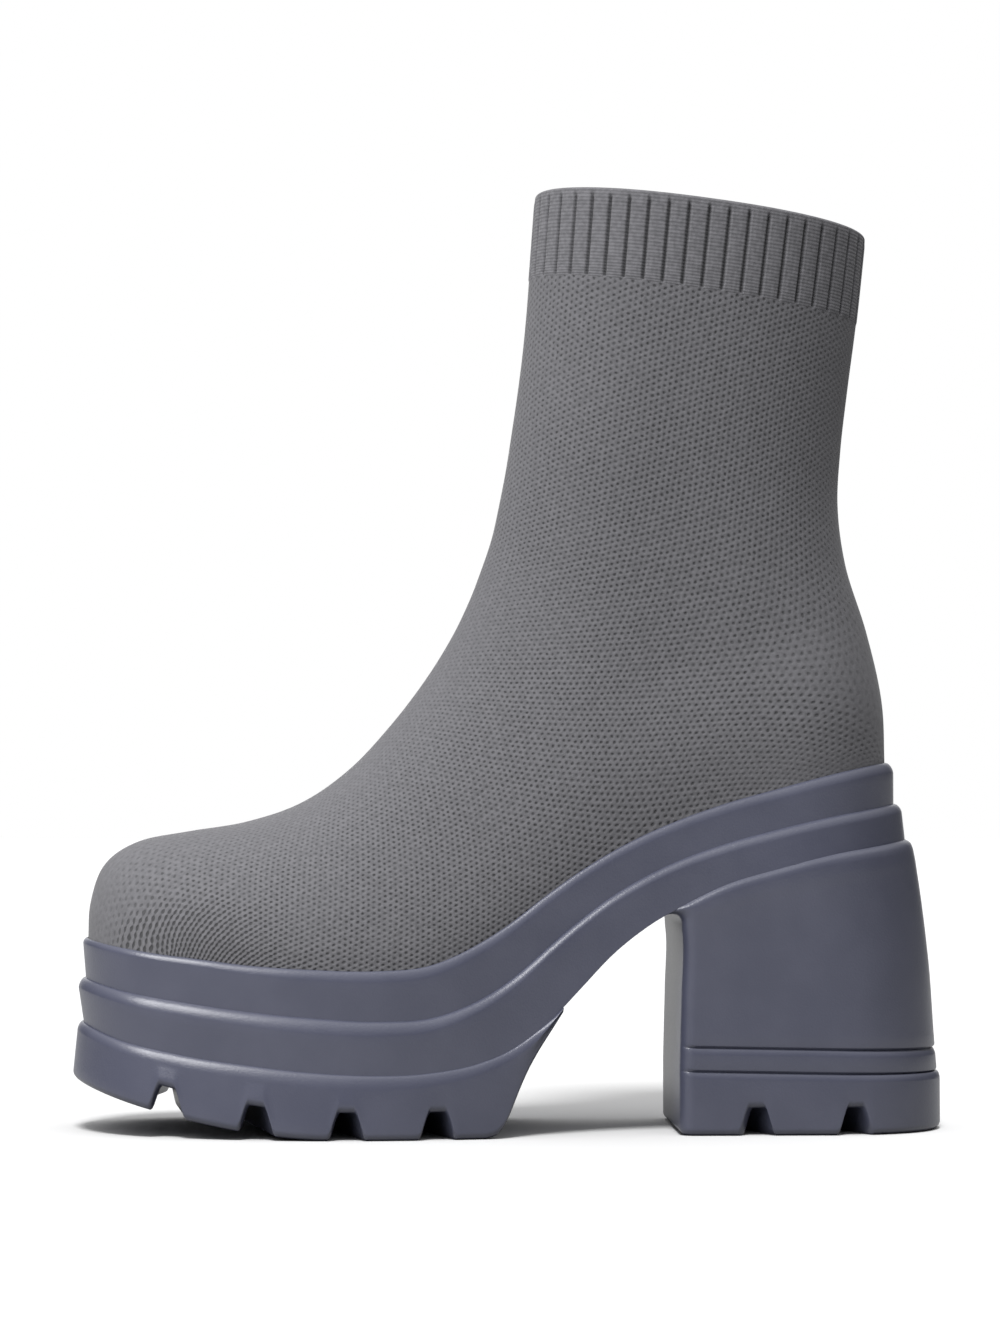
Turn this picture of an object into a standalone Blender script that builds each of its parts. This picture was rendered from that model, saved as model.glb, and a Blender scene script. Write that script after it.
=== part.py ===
"""Knit ankle boot on a stepped platform sole with a block heel, for the left foot.

Sizes are in millimetres and become metres as the meshes are made. +Z is up, the floor is Z = 0,
the toe points to -X and the outer side of the foot faces -Y.
"""
import math

import bmesh
import bpy
import numpy as np

MM = 0.001
OUTER = -1.0
INNER = 1.0

# The last, the foot shape that the upper is knitted over
TOE_X = -129.9
HEEL_X = 116.7
TOE_SHOULDER_X = -104.0
TOE_CROWN = 2.35
CROWN_ROUND = 2.1
TOE_SWING = 6.0
SWING_START_X = -15.0
HEEL_ROUND = 34.0
HEEL_SQUARE = 2.2
SHAFT_ROUND = 51.0
SHAFT_HEIGHTS = (112.0, 212.0)
BODY_RISE = 42.0

# The upper
WALL = 2.2
FIT_GAP = 0.3
SKIN_TUCK = 1.0
CUFF_HEIGHT = 27.2
CUFF_RIBS = 46
RIB_RISE = 0.1
RIB_FLOOR = -0.8
RIB_STEP = 0.6
RIM_BAND = 3.6
RIM_ROLL = 1.3
RIM_SOFT = 0.3

# The sole
CUP_DEPTH = 9.0
RIM_ROUND = 0.9
STEP_ROUND = 2.1
INSOLE_THICK = 3.6
INSOLE_EASE = 0.6
INSOLE_ROUND = 1.0
TREAD_FLAT_X = -52.0
TOE_SPRING = 15.4
TOE_SPRING_POWER = 1.8
LUG_ROUND = 2.4
LUG_GAP_DEPTH = 8.2
LUG_GAP_COUNT = 4
LUG_GAP_FIRST_X = -101.6
LUG_GAP_PITCH = 26.1
LUG_GAP_XS = [LUG_GAP_FIRST_X + LUG_GAP_PITCH * i for i in range(LUG_GAP_COUNT)]
CHEVRON = 13.0
CHEVRON_FADE = 22.0
CHEVRON_TOE_FADE = 76.0

# The heel
BREAST_X = 50.0
HEEL_BASE_X = 133.2
HEEL_HEIGHT = 58.0
HEEL_BACK_ROUND = 37.0
HEEL_CORNER = 4.5
HEEL_GAP_XS = [72.9, 103.2]
JOINT_Z = 17.2
JOINT_FALL = 1.6
GROOVE_UP = 7.2
GROOVE_DEPTH = 1.0
GROOVE_HALF = 1.3

# Colours and gloss
KNIT_GREY = (0.165, 0.163, 0.175)
BOARD_GREY = (0.12, 0.12, 0.125)
SOLE_GREY = (0.095, 0.100, 0.130)
KNIT_ROUGHNESS = 0.85
SOLE_ROUGHNESS = 0.42

# How finely the curves are cut into flats
SIDE_CUTS = 20
RING_CUTS = 120
SHAFT_CUTS = 9
TOE_ROWS = 4.0
TOE_ROW_STEP = 0.5
TOE_CUTS = 9
WAIST_CUTS = 17
HEEL_CUTS = 9
HEEL_MIDDLE_CUTS = 5
CORNER_CUTS = 4
STEP_CUTS = 4
RIM_CUTS = 3
LUG_CUTS = 3
STATION_CLEAR = 1.2
ROUND_SHARE = 0.4
TINY = 0.001


def columns(names, rows):
    """A short table: the names of its columns, and a row of numbers for each section."""
    return dict(zip(names.split(), np.array(rows, float).T))


# Half widths of the last at the rim, before the ends are rounded
OUTLINE = columns("x outer inner", [
    (-104, 36.5, 33.5),
    (-90, 40.5, 37.6),
    (-75, 43.2, 39.6),
    (-60, 44.7, 39.9),
    (-45, 45.0, 39.0),
    (-30, 43.9, 36.8),
    (-15, 41.3, 33.6),
    (0, 38.0, 30.7),
    (15, 35.0, 28.8),
    (30, 32.8, 28.0),
    (50, 31.0, 28.1),
    (70, 30.3, 28.9),
    (92, 30.0, 29.4),
    (117, 29.6, 29.4),
])

# Heights of the lines along the side of the sole: its rim and its two steps
SIDE_LINES = columns("x rim upper_step lower_step", [
    (-132, 59.4, 44.9, 32.2),
    (-117, 57.0, 41.0, 26.8),
    (-99, 54.0, 37.7, 22.5),
    (-80, 51.2, 34.9, 19.4),
    (-60, 49.7, 32.9, 16.9),
    (-40, 49.5, 32.0, 16.4),
    (-25, 51.0, 33.3, 17.6),
    (-10, 57.2, 39.2, 21.0),
    (0, 63.2, 45.5, 25.6),
    (10, 70.6, 53.4, 33.4),
    (20, 77.9, 61.3, 43.7),
    (30, 84.4, 69.0, 54.0),
    (40, 89.9, 75.7, 61.9),
    (50, 94.4, 81.1, 68.1),
    (62, 98.8, 86.1, 74.3),
    (81, 104.2, 91.9, 80.1),
    (97, 108.4, 95.8, 84.0),
    (112, 111.6, 98.6, 86.4),
    (124, 113.4, 100.8, 88.4),
])

# How far each step of the sole stands out from the last, at its top and at its foot
STEP_OUT = columns("x rim_top rim_foot mid_top mid_foot low_top low_foot", [
    (-131, 1.5, 0.6, 2.8, 1.2, 3.1, 4.3),
    (-60, 1.9, 1.2, 3.6, 2.6, 4.5, 5.2),
    (10, 1.9, 1.6, 3.9, 3.5, 4.6, 3.7),
    (60, 1.9, 1.8, 3.9, 3.8, 5.2, 5.2),
    (119, 2.7, 2.7, 5.3, 6.2, 7.8, 7.8),
])

# Sections of the last from the toe to the heel, each from the rim up to the crest of the foot
FOOT_SECTIONS = columns("crest_x crest_z base_x outer inner crown reach", [
    (-129.9, 57.8, -104.0, 36.0, 33.0, 2.35, 26.3),
    (-129.2, 69.5, -99.0, 37.0, 34.0, 2.35, 34.5),
    (-124.9, 81.0, -92.5, 39.0, 36.0, 2.35, 43.5),
    (-114.7, 88.0, -85.0, 41.0, 38.0, 2.30, 47.4),
    (-99.0, 91.2, -75.0, 43.0, 39.5, 2.25, 47.7),
    (-81.0, 94.2, -62.0, 44.5, 40.0, 2.15, 49.6),
    (-64.0, 100.1, -46.0, 45.0, 39.2, 2.05, 54.6),
    (-49.0, 110.6, -27.0, 43.0, 37.0, 1.95, 64.3),
    (-36.0, 124.6, -5.0, 39.5, 34.0, 1.90, 70.4),
    (-25.5, 138.5, 18.0, 36.4, 32.4, 1.90, 72.5),
    (-17.5, 151.5, 42.0, 34.5, 31.8, 1.95, 75.0),
    (-12.0, 163.0, 66.0, 33.5, 32.0, 2.00, 77.5),
    (-8.5, 172.2, 89.0, 33.0, 32.2, 2.05, 79.0),
    (-6.2, 178.8, 106.0, 32.9, 32.4, 2.10, 78.5),
])

# Sections from the heel to the collar, each from the back of the shaft to its front
SHAFT_SECTIONS = columns("crest_x crest_z base_x base_z outer inner crown reach", [
    (-4.6, 184.5, 116.7, 111.8, 32.9, 32.6, 2.12, 75.5),
    (-2.6, 194.0, 116.0, 130.0, 32.9, 32.7, 2.15, 69.5),
    (-0.7, 204.0, 111.2, 153.0, 33.0, 32.9, 2.18, 62.8),
    (1.0, 215.0, 104.8, 174.0, 33.3, 33.2, 2.20, 56.8),
    (2.7, 226.5, 102.5, 193.0, 33.7, 33.6, 2.20, 53.2),
    (4.3, 239.0, 103.4, 209.0, 34.2, 34.1, 2.20, 51.9),
    (5.5, 251.0, 105.7, 228.5, 34.9, 34.8, 2.20, 51.5),
    (6.4, 262.5, 108.4, 248.5, 35.6, 35.5, 2.20, 51.6),
    (8.4, 289.5, 111.4, 276.0, 36.8, 36.6, 2.20, 52.0),
])
HEEL_ROW = float(len(FOOT_SECTIONS["base_x"]))
COLLAR_ROW = HEEL_ROW + len(SHAFT_SECTIONS["base_x"]) - 1
CUFF_ROW = COLLAR_ROW - 1
CLOSING_ROWS = (HEEL_ROW - 4, HEEL_ROW)
BODY_ROWS = (4.0, 9.0)

# One rib of the cuff: shares across it, and how far the knit stands out there
RIB_PROFILE = columns("at out", [
    (0.00, RIB_FLOOR),
    (0.18, RIB_FLOOR),
    (0.32, RIB_RISE),
    (0.86, RIB_RISE),
])

# Underside of the outsole behind its last lug, up into the arch
ARCH_RISE = columns("x z", [
    (-9.0, 0.0),
    (-5.5, 1.3),
    (-3.0, 4.3),
    (-1.0, 8.7),
    (1.2, 14.1),
    (3.9, 20.0),
    (7.3, 26.0),
    (10.9, 31.9),
    (11.6, 33.0),
])

# Plan of the block heel at a share of its height: its breast in front and its round back
HEEL_LEVELS = columns("share front back outer inner", [
    (0.00, 50.2, 132.3, 34.6, 33.6),
    (0.45, 51.0, 130.0, 35.0, 34.0),
    (0.85, 51.4, 126.5, 35.8, 34.8),
    (0.91, 50.2, 125.8, 35.9, 34.9),
    (0.955, 48.0, 125.1, 35.7, 34.7),
    (0.985, 46.3, 124.3, 35.1, 34.1),
    (1.00, 45.6, 122.9, 34.0, 33.0),
])

# A gap between two lugs: half its width, and how high that is as a share of its depth
LUG_GAP = columns("half rise", [
    (5.9, 0.00),
    (4.4, 0.20),
    (2.7, 0.86),
    (1.7, 1.00),
])


def smooth(low, high, x):
    """A soft step from 0 to 1."""
    t = np.clip((np.asarray(x, float) - low) / (high - low), 0, 1)
    return t * t * (3 - 2 * t)


def quarter(cuts):
    """Turns of a quarter round."""
    return np.linspace(0, math.pi / 2, cuts)


def curve(xs, ys, x):
    """The smooth curve through a table's points, straight beyond both ends."""
    x = np.asarray(x, float)
    slope = np.gradient(ys, xs)
    i = np.clip(np.searchsorted(xs, x) - 1, 0, len(xs) - 2)
    span = xs[i + 1] - xs[i]
    t = np.clip((x - xs[i]) / span, 0, 1)
    left = ys[i] * (1 + 2 * t) + slope[i] * span * t
    right = ys[i + 1] * (3 - 2 * t) - slope[i + 1] * span * (1 - t)
    inside = left * (1 - t) ** 2 + right * t ** 2
    before = slope[0] * np.minimum(x - xs[0], 0)
    after = slope[-1] * np.maximum(x - xs[-1], 0)
    return inside + before + after


def side_line(name, x):
    """Height of the rim or of a step at x."""
    return curve(SIDE_LINES["x"], SIDE_LINES[name], x)


def step_out(name, x):
    """How far an edge of a step stands out from the last at x."""
    return np.interp(x, STEP_OUT["x"], STEP_OUT[name])


def seat_z(x):
    """Floor of the cup, which the upper and the insole stand on."""
    return side_line("rim", x) - CUP_DEPTH


def width_column(side):
    """The table column of one side of the foot."""
    return "outer" if side == OUTER else "inner"


def envelope(x, side):
    """Half width of the last at the rim, before the ends are rounded."""
    return curve(OUTLINE["x"], OUTLINE[width_column(side)], x)


def swing(x):
    """How far the middle line of the foot bends to the inner side towards the toe."""
    ahead = np.clip((SWING_START_X - np.asarray(x, float)) / (SWING_START_X - TOE_X), 0, None)
    return TOE_SWING * ahead ** 2


def round_end(depth, radius, power):
    """Share of the full width at a depth behind a rounded end."""
    short = 1 - np.clip(depth / radius, 0, 1)
    return (1 - short ** power) ** (1 / power)


def half_width(x, side):
    """Half width of the last's outline at the rim."""
    ahead = np.clip((TOE_SHOULDER_X - x) / (TOE_SHOULDER_X - TOE_X), 0, 1)
    toe = (1 - ahead ** TOE_CROWN) ** (1 / CROWN_ROUND)
    return envelope(x, side) * toe * round_end(HEEL_X - x, HEEL_ROUND, HEEL_SQUARE)


def axis_y():
    """Y of the heel's middle line, with the middle of the sole's whole width at Y = 0."""
    x = np.linspace(TOE_SHOULDER_X, HEEL_X - HEEL_ROUND, RING_CUTS)
    reach_out = np.max(half_width(x, OUTER) + step_out("low_foot", x) - swing(x))
    reach_in = np.max(half_width(x, INNER) + step_out("low_foot", x) + swing(x))
    return (reach_out - reach_in) / 2


AXIS_Y = axis_y()
BOX_MIDDLE_X = (TOE_X - STEP_OUT["low_foot"][0] + HEEL_BASE_X) / 2


def merge_stations(plain, corners):
    """Cuts at every corner, and the plain cuts that do not crowd a corner."""
    away = np.min(np.abs(plain[:, None] - corners), axis=1)
    return np.unique(np.round(np.concatenate([plain[away > STATION_CLEAR], corners]), 4))


def foot_stations():
    """X of the cuts along the foot, closer at the round ends."""
    turn = quarter(TOE_CUTS + 1)[:0:-1]
    toe = TOE_SHOULDER_X - (TOE_SHOULDER_X - TOE_X) * np.sin(turn) ** (2 / TOE_CROWN)
    middle = np.linspace(TOE_SHOULDER_X, HEEL_X - HEEL_ROUND, WAIST_CUTS)
    heel = HEEL_X - HEEL_ROUND * (1 - np.sin(quarter(HEEL_CUTS)[1:]) ** (2 / HEEL_SQUARE))
    return np.concatenate([toe, middle, heel])


def edge(x, side, out):
    """Points of one side of the outline at x, moved straight out from it."""
    near = np.clip(np.stack([x - TINY, x + TINY]), TOE_X, HEEL_X)
    y = side * half_width(near, side) + swing(near)
    slope = (y[1] - y[0]) / (near[1] - near[0])
    length = np.hypot(slope, 1)
    tip = half_width(x, side) < TINY
    normal_x = np.where(tip, np.sign(x), -side * slope / length)
    normal_y = np.where(tip, 0, side / length)
    base_y = AXIS_Y + swing(x) + side * half_width(x, side)
    return x + normal_x * out, base_y + normal_y * out


def foot_loop(stations, out, height):
    """A loop round the foot: the outer side from the toe back, then the inner side forward."""
    outer_x, outer_y = edge(stations, OUTER, out)
    inner_x, inner_y = edge(stations, INNER, out)
    closed_heel = stations[-1] > HEEL_X - TINY
    back = slice(-2, 0, -1) if closed_heel else slice(None, 0, -1)
    x = np.concatenate([outer_x, inner_x[back]])
    y = np.concatenate([outer_y, inner_y[back]])
    return np.stack([x, y, height(x)], axis=1)


def both_sides(values):
    """Values along the outer side of a loop with an open end, then back along its inner side."""
    return np.concatenate([values, values[:0:-1]])


def new_object(name, bm):
    """Turn a finished mesh into a named object, its faces turned outwards."""
    bmesh.ops.recalc_face_normals(bm, faces=bm.faces[:])
    mesh = bpy.data.meshes.new(name)
    bm.to_mesh(mesh)
    bm.free()
    part = bpy.data.objects.new(name, mesh)
    bpy.context.scene.collection.objects.link(part)
    return part


def add_points(bm, points):
    """Add points given in millimetres, with the middle of the whole boot at X = 0."""
    metres = (np.asarray(points, float) - (BOX_MIDDLE_X, 0, 0)) * MM
    return [bm.verts.new(point) for point in metres.tolist()]


def add_face(bm, corners):
    """Add a face, leaving out corners that are named twice."""
    bm.faces.new(list(dict.fromkeys(corners)))


def add_band(bm, low, high):
    """Join two closed rings that have the same number of points."""
    count = len(low)
    for i in range(count):
        j = (i + 1) % count
        bm.faces.new((low[i], low[j], high[j], high[i]))


def add_ladder(bm, ring):
    """Close a ring with strips that cross from its outer to its inner side."""
    count = len(ring)
    for i in range(count // 2):
        add_face(bm, (ring[i], ring[i + 1], ring[count - i - 1], ring[-i % count]))


def add_tread(bm, ring, bends):
    """Close an open-ended ring with strips bent to a chevron, by (x, z) moves in its middle."""
    count = len(ring)
    last = count // 2
    spine = [ring[0]]
    for i in range(1, last):
        middle = (ring[i].co + ring[count - i].co) / 2
        middle.x += bends[i][0] * MM
        middle.z += bends[i][1] * MM
        spine.append(bm.verts.new(middle))
    for i in range(last - 1):
        add_face(bm, (ring[i], ring[i + 1], spine[i + 1], spine[i]))
        add_face(bm, (ring[-i % count], spine[i], spine[i + 1], ring[count - i - 1]))
    bm.faces.new((spine[-1], ring[last - 1], ring[last], ring[last + 1], ring[last + 2]))


def stack(name, loops, bends=None):
    """A closed solid from loops laid one on the next, its two ends closed with strips."""
    bm = bmesh.new()
    rings = [add_points(bm, loop) for loop in loops]
    for low, high in zip(rings, rings[1:]):
        add_band(bm, low, high)
    if bends is None:
        add_ladder(bm, rings[0])
    else:
        add_tread(bm, rings[0], bends)
    add_ladder(bm, rings[-1])
    return new_object(name, bm)


def along(name, row):
    """A column of the foot and shaft sections at a row, between rows as well."""
    values = np.concatenate([FOOT_SECTIONS[name], SHAFT_SECTIONS[name]])
    return curve(np.arange(len(values), dtype=float), values, row)


def back_x(z):
    """X of the back of heel and shaft at a height."""
    line = curve(SHAFT_SECTIONS["base_z"], SHAFT_SECTIONS["base_x"], z)
    return np.where(z < SHAFT_SECTIONS["base_z"][0], HEEL_X, line)


def section_base(row):
    """Where a section starts: on the rim of the sole, or on the back of the shaft."""
    foot_x = np.append(FOOT_SECTIONS["base_x"], HEEL_X)
    rim_x = curve(np.arange(HEEL_ROW + 1), foot_x, np.minimum(row, HEEL_ROW))
    rim_z = side_line("rim", rim_x) - SKIN_TUCK
    shaft_rows = np.arange(HEEL_ROW, COLLAR_ROW + 1)
    shaft_z = curve(shaft_rows, SHAFT_SECTIONS["base_z"], np.maximum(row, HEEL_ROW))
    on_rim = row <= HEEL_ROW
    return np.where(on_rim, rim_x, back_x(shaft_z)), np.where(on_rim, rim_z, shaft_z)


def section_points(row, share, side):
    """Points of the upper's outer skin: share 0 is the rim or the back, share 1 the crest."""
    base_x, base_z = section_base(row)
    crest_x = along("crest_x", row)
    crest_z = along("crest_z", row)
    x = base_x + share * (crest_x - base_x)
    z = base_z + share * (crest_z - base_z)
    length = np.hypot(crest_x - base_x, crest_z - base_z)
    reach = np.minimum(along("reach", row), length)
    up = np.clip(1 - (1 - share) * length / reach, 0, 1)
    front = (1 - up ** along("crown", row)) ** (1 / CROWN_ROUND)
    behind = HEEL_ROUND + (SHAFT_ROUND - HEEL_ROUND) * smooth(*SHAFT_HEIGHTS, z)
    back = round_end(back_x(z) - x, behind, HEEL_SQUARE)
    above_rim = smooth(0, BODY_RISE, z - side_line("rim", x) + SKIN_TUCK)
    rim_half = envelope(x, side)
    full = along(width_column(side), row)
    half = rim_half + (full - rim_half) * above_rim * smooth(*BODY_ROWS, row)
    y = AXIS_Y + swing(x) + side * half * front * back
    return np.stack(np.broadcast_arrays(x, y, z), axis=-1)


def section_line(row, cuts):
    """One section of the skin from the outer side over the crest to the inner side."""
    turn = np.linspace(0, 1, cuts)
    closed = smooth(*CLOSING_ROWS, row)
    arch = np.sin(turn * math.pi / 2)
    ring = (1 - np.cos(turn * math.pi)) / 2
    share = arch + (ring - arch) * closed
    outer = section_points(row, share, OUTER)
    inner = section_points(row, share, INNER)
    return np.concatenate([outer, inner[-2::-1]])


def skin_rows():
    """Rows of the skin: close round the toe, then on the sole's stations, then up the shaft."""
    toe = np.arange(0, TOE_ROWS, TOE_ROW_STEP)
    numbers = np.linspace(TOE_ROWS, HEEL_ROW, RING_CUTS)
    base_x, _ = section_base(numbers)
    stations = foot_stations()
    foot = np.interp(stations[stations > base_x[0]], base_x, numbers)
    shaft = np.linspace(HEEL_ROW, CUFF_ROW, SHAFT_CUTS)[1:]
    return np.concatenate([toe, foot, shaft])


def way_shares(line):
    """How far along a line of points each point lies, from 0 to 1."""
    steps = np.linalg.norm(np.diff(line, axis=0), axis=1)
    return np.concatenate([[0], np.cumsum(steps)]) / np.sum(steps)


def rib_ring(row):
    """A ring of the cuff with its knitted ribs, and where its points lie round the ring."""
    line = section_line(row, RING_CUTS)
    at = way_shares(line)
    shares = (np.arange(CUFF_RIBS)[:, None] + RIB_PROFILE["at"]).ravel() / CUFF_RIBS
    points, ahead, behind = (
        np.stack([np.interp((shares + step) % 1, at, line[:, axis]) for axis in range(3)], axis=1)
        for step in (0, TINY, -TINY))
    way = ahead - behind
    outward = np.stack([way[:, 1], -way[:, 0]], axis=1)
    outward /= np.linalg.norm(outward, axis=1)[:, None]
    from_middle = points[:, :2] - points[:, :2].mean(axis=0)
    outward *= np.sign(np.sum(outward * from_middle, axis=1))[:, None]
    points[:, :2] += outward * np.tile(RIB_PROFILE["out"], CUFF_RIBS)[:, None]
    return points, shares


def add_zipper(bm, low, low_at, high, high_at):
    """Join two closed rings whose points lie at different shares of the way round."""
    low_next = np.append(low_at[1:], 1 + low_at[0])
    high_next = np.append(high_at[1:], 1 + high_at[0])
    i = 0
    j = 0
    while i < len(low) or j < len(high):
        here = low[i % len(low)]
        there = high[j % len(high)]
        if j == len(high) or (i < len(low) and low_next[i] <= high_next[j]):
            i += 1
            bm.faces.new((here, low[i % len(low)], there))
        else:
            j += 1
            bm.faces.new((here, high[j % len(high)], there))


def add_skin(bm, grid, heel):
    """The points of a skin, whose rows close into rings from the heel row on."""
    rows = []
    for number, points in enumerate(grid):
        ring = add_points(bm, points if number < heel else points[:-1])
        rows.append(ring if number < heel else ring + ring[:1])
    return rows


def add_skin_faces(bm, rows):
    """Faces between the neighbouring rows of a skin."""
    for low, high in zip(rows, rows[1:]):
        for i in range(len(low) - 1):
            bm.faces.new((low[i], high[i], high[i + 1], low[i + 1]))


def rim_edge(rows, heel):
    """The open edge of a skin at the rim, from the back of the heel round by the outer side."""
    outer = [row[0] for row in rows[heel::-1]]
    inner = [row[-1] for row in rows[:heel]]
    return outer + list(rows[0][1:-1]) + inner


def add_skirt(bm, grid, rows, heel):
    """A short upright wall from the rim edge of a skin down to the floor of the cup."""
    foot = np.array(rim_edge(grid, heel))
    foot[:, 2] = seat_z(foot[:, 0]) + FIT_GAP
    ring = add_points(bm, foot)
    add_band(bm, ring, rim_edge(rows, heel))
    return ring


def skin_normals(grid, heel):
    """Outward directions at the points of a skin."""
    bm = bmesh.new()
    rows = add_skin(bm, grid, heel)
    add_skin_faces(bm, rows)
    bm.normal_update()
    normals = np.array([[vert.normal for vert in row] for row in rows])
    bm.free()
    return normals


def build_upper():
    """The knitted upper: an outer skin with a ribbed cuff, and an inner skin one wall inside it."""
    numbers = np.append(skin_rows(), COLLAR_ROW - RIM_ROLL / CUFF_HEIGHT)
    grid = np.array([section_line(number, SIDE_CUTS) for number in numbers])
    heel = int(np.argmin(np.abs(numbers - HEEL_ROW)))
    normals = skin_normals(grid, heel)
    inner_grid = grid - WALL * normals
    bm = bmesh.new()
    outer = add_skin(bm, grid, heel)
    inner = add_skin(bm, inner_grid, heel)
    add_skin_faces(bm, outer[:-1])
    add_skin_faces(bm, inner)
    outer_foot = add_skirt(bm, grid, outer, heel)
    inner_foot = add_skirt(bm, inner_grid, inner, heel)
    add_band(bm, outer_foot, inner_foot)

    rib_foot, rib_at = rib_ring(CUFF_ROW + RIB_STEP / CUFF_HEIGHT)
    rib_top, _ = rib_ring(COLLAR_ROW - RIM_BAND / CUFF_HEIGHT)
    ribs_low = add_points(bm, rib_foot)
    ribs_high = add_points(bm, rib_top)
    roll = outer[-1][:-1]
    add_zipper(bm, outer[-2][:-1], way_shares(grid[-2])[:-1], ribs_low, rib_at)
    add_band(bm, ribs_low, ribs_high)
    add_zipper(bm, ribs_high, rib_at, roll, way_shares(grid[-1])[:-1])

    collar = section_line(COLLAR_ROW, SIDE_CUTS)[:-1]
    inward = -WALL * normals[-1][:-1]
    lip_out = add_points(bm, collar + RIM_SOFT * inward)
    lip_in = add_points(bm, collar + (1 - RIM_SOFT) * inward)
    add_band(bm, roll, lip_out)
    add_band(bm, lip_out, lip_in)
    add_band(bm, lip_in, inner[-1][:-1])
    return new_object("upper", bm)


def build_insole():
    """The footbed board, lying in the cup inside the upper's wall."""
    stations = foot_stations()
    out = np.full(stations.shape, -(WALL + INSOLE_EASE))
    top = FIT_GAP + INSOLE_THICK
    return stack("insole", [
        foot_loop(stations, out, lambda x: seat_z(x) + FIT_GAP),
        foot_loop(stations, out, lambda x: seat_z(x) + top - INSOLE_ROUND),
        foot_loop(stations, out - INSOLE_ROUND, lambda x: seat_z(x) + top),
    ])


def build_midsole():
    """The moulded cup: its underside, two steps of its side, its rim and the floor inside."""
    stations = foot_stations()
    mid_top = step_out("mid_top", stations)
    rim_foot = step_out("rim_foot", stations)
    rim_top = step_out("rim_top", stations)
    loops = [foot_loop(stations, step_out("mid_foot", stations), lambda x: side_line("lower_step", x))]
    for turn in quarter(STEP_CUTS):
        out = mid_top + (rim_foot - mid_top) * (1 - math.cos(turn))
        loop = foot_loop(stations, out, lambda x: side_line("upper_step", x))
        loop[:, 2] -= STEP_ROUND * (1 - math.sin(turn))
        loops.append(loop)
    for turn in quarter(RIM_CUTS):
        out = rim_top - RIM_ROUND * (1 - math.cos(turn))
        loop = foot_loop(stations, out, lambda x: side_line("rim", x))
        loop[:, 2] -= RIM_ROUND * (1 - math.sin(turn))
        loops.append(loop)
    wall = np.full(stations.shape, FIT_GAP)
    loops.append(foot_loop(stations, wall, lambda x: side_line("rim", x)))
    loops.append(foot_loop(stations, wall, seat_z))
    return stack("midsole", loops)


def gap_stations(centres):
    """X of the corners of the gaps between lugs."""
    sides = np.concatenate([-LUG_GAP["half"], LUG_GAP["half"]])
    return (np.array(centres)[:, None] + sides).ravel()


def gap_rise(x, centres):
    """How far the tread is raised at x by the gaps between lugs."""
    away = np.min(np.abs(np.asarray(x)[:, None] - np.array(centres)), axis=1)
    return LUG_GAP_DEPTH * np.interp(away, LUG_GAP["half"][::-1], LUG_GAP["rise"][::-1])


def spring_z(x):
    """How far the toe springs up from the floor at x."""
    ahead = np.clip((TREAD_FLAT_X - x) / (TREAD_FLAT_X - TOE_X), 0, None)
    return TOE_SPRING * ahead ** TOE_SPRING_POWER


def tread_bends(stations, front_fade):
    """The chevron of the tread: moves of its middle towards the toe, faded at both ends."""
    low = min(stations)
    high = max(stations)
    front = smooth(low, low + front_fade, stations)
    back = 1 - smooth(high - CHEVRON_FADE, high, stations)
    return -CHEVRON * front * back


def build_outsole():
    """The lugged forefoot tread, with the lowest step of the side."""
    corners = np.concatenate([gap_stations(LUG_GAP_XS), ARCH_RISE["x"]])
    stations = merge_stations(foot_stations(), corners)
    stations = stations[stations < ARCH_RISE["x"][-1] + TINY]
    arch = np.interp(stations, ARCH_RISE["x"], ARCH_RISE["z"])
    tread = spring_z(stations) + arch + gap_rise(stations, LUG_GAP_XS)
    thick = side_line("lower_step", stations) - FIT_GAP - tread
    lug_round = np.minimum(LUG_ROUND, ROUND_SHARE * thick)
    top_round = np.minimum(STEP_ROUND, ROUND_SHARE * thick)
    low_foot = step_out("low_foot", stations)
    low_top = step_out("low_top", stations)
    loops = []
    for turn in quarter(LUG_CUTS):
        loop = foot_loop(stations, low_foot - lug_round * (1 - math.sin(turn)), seat_z)
        loop[:, 2] = both_sides(tread + lug_round * (1 - math.cos(turn)))
        loops.append(loop)
    for turn in quarter(STEP_CUTS):
        out = low_top - top_round * (1 - math.cos(turn))
        loop = foot_loop(stations, out, lambda x: side_line("lower_step", x) - FIT_GAP)
        loop[:, 2] -= both_sides(top_round * (1 - math.sin(turn)))
        loops.append(loop)
    bend = tread_bends(stations, CHEVRON_TOE_FADE)
    lift = spring_z(stations + bend) - spring_z(stations)
    return stack("outsole", loops, np.stack([bend, lift], axis=1))


def joint_z(x):
    """Height of the joint between the block heel and its top piece."""
    return JOINT_Z - JOINT_FALL * (x - BREAST_X) / (HEEL_BASE_X - BREAST_X)


def heel_stations():
    """X of the cuts along the heel's base, closer at its round back and its breast corners."""
    back = HEEL_BASE_X - HEEL_BACK_ROUND * (1 - np.sin(quarter(HEEL_CUTS)) ** (2 / HEEL_SQUARE))
    corner = BREAST_X + HEEL_CORNER * (1 - np.sin(quarter(CORNER_CUTS)))
    middle = np.linspace(corner[0], back[0], HEEL_MIDDLE_CUTS)
    return np.unique(np.round(np.concatenate([corner, middle, back]), 4))


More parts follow.
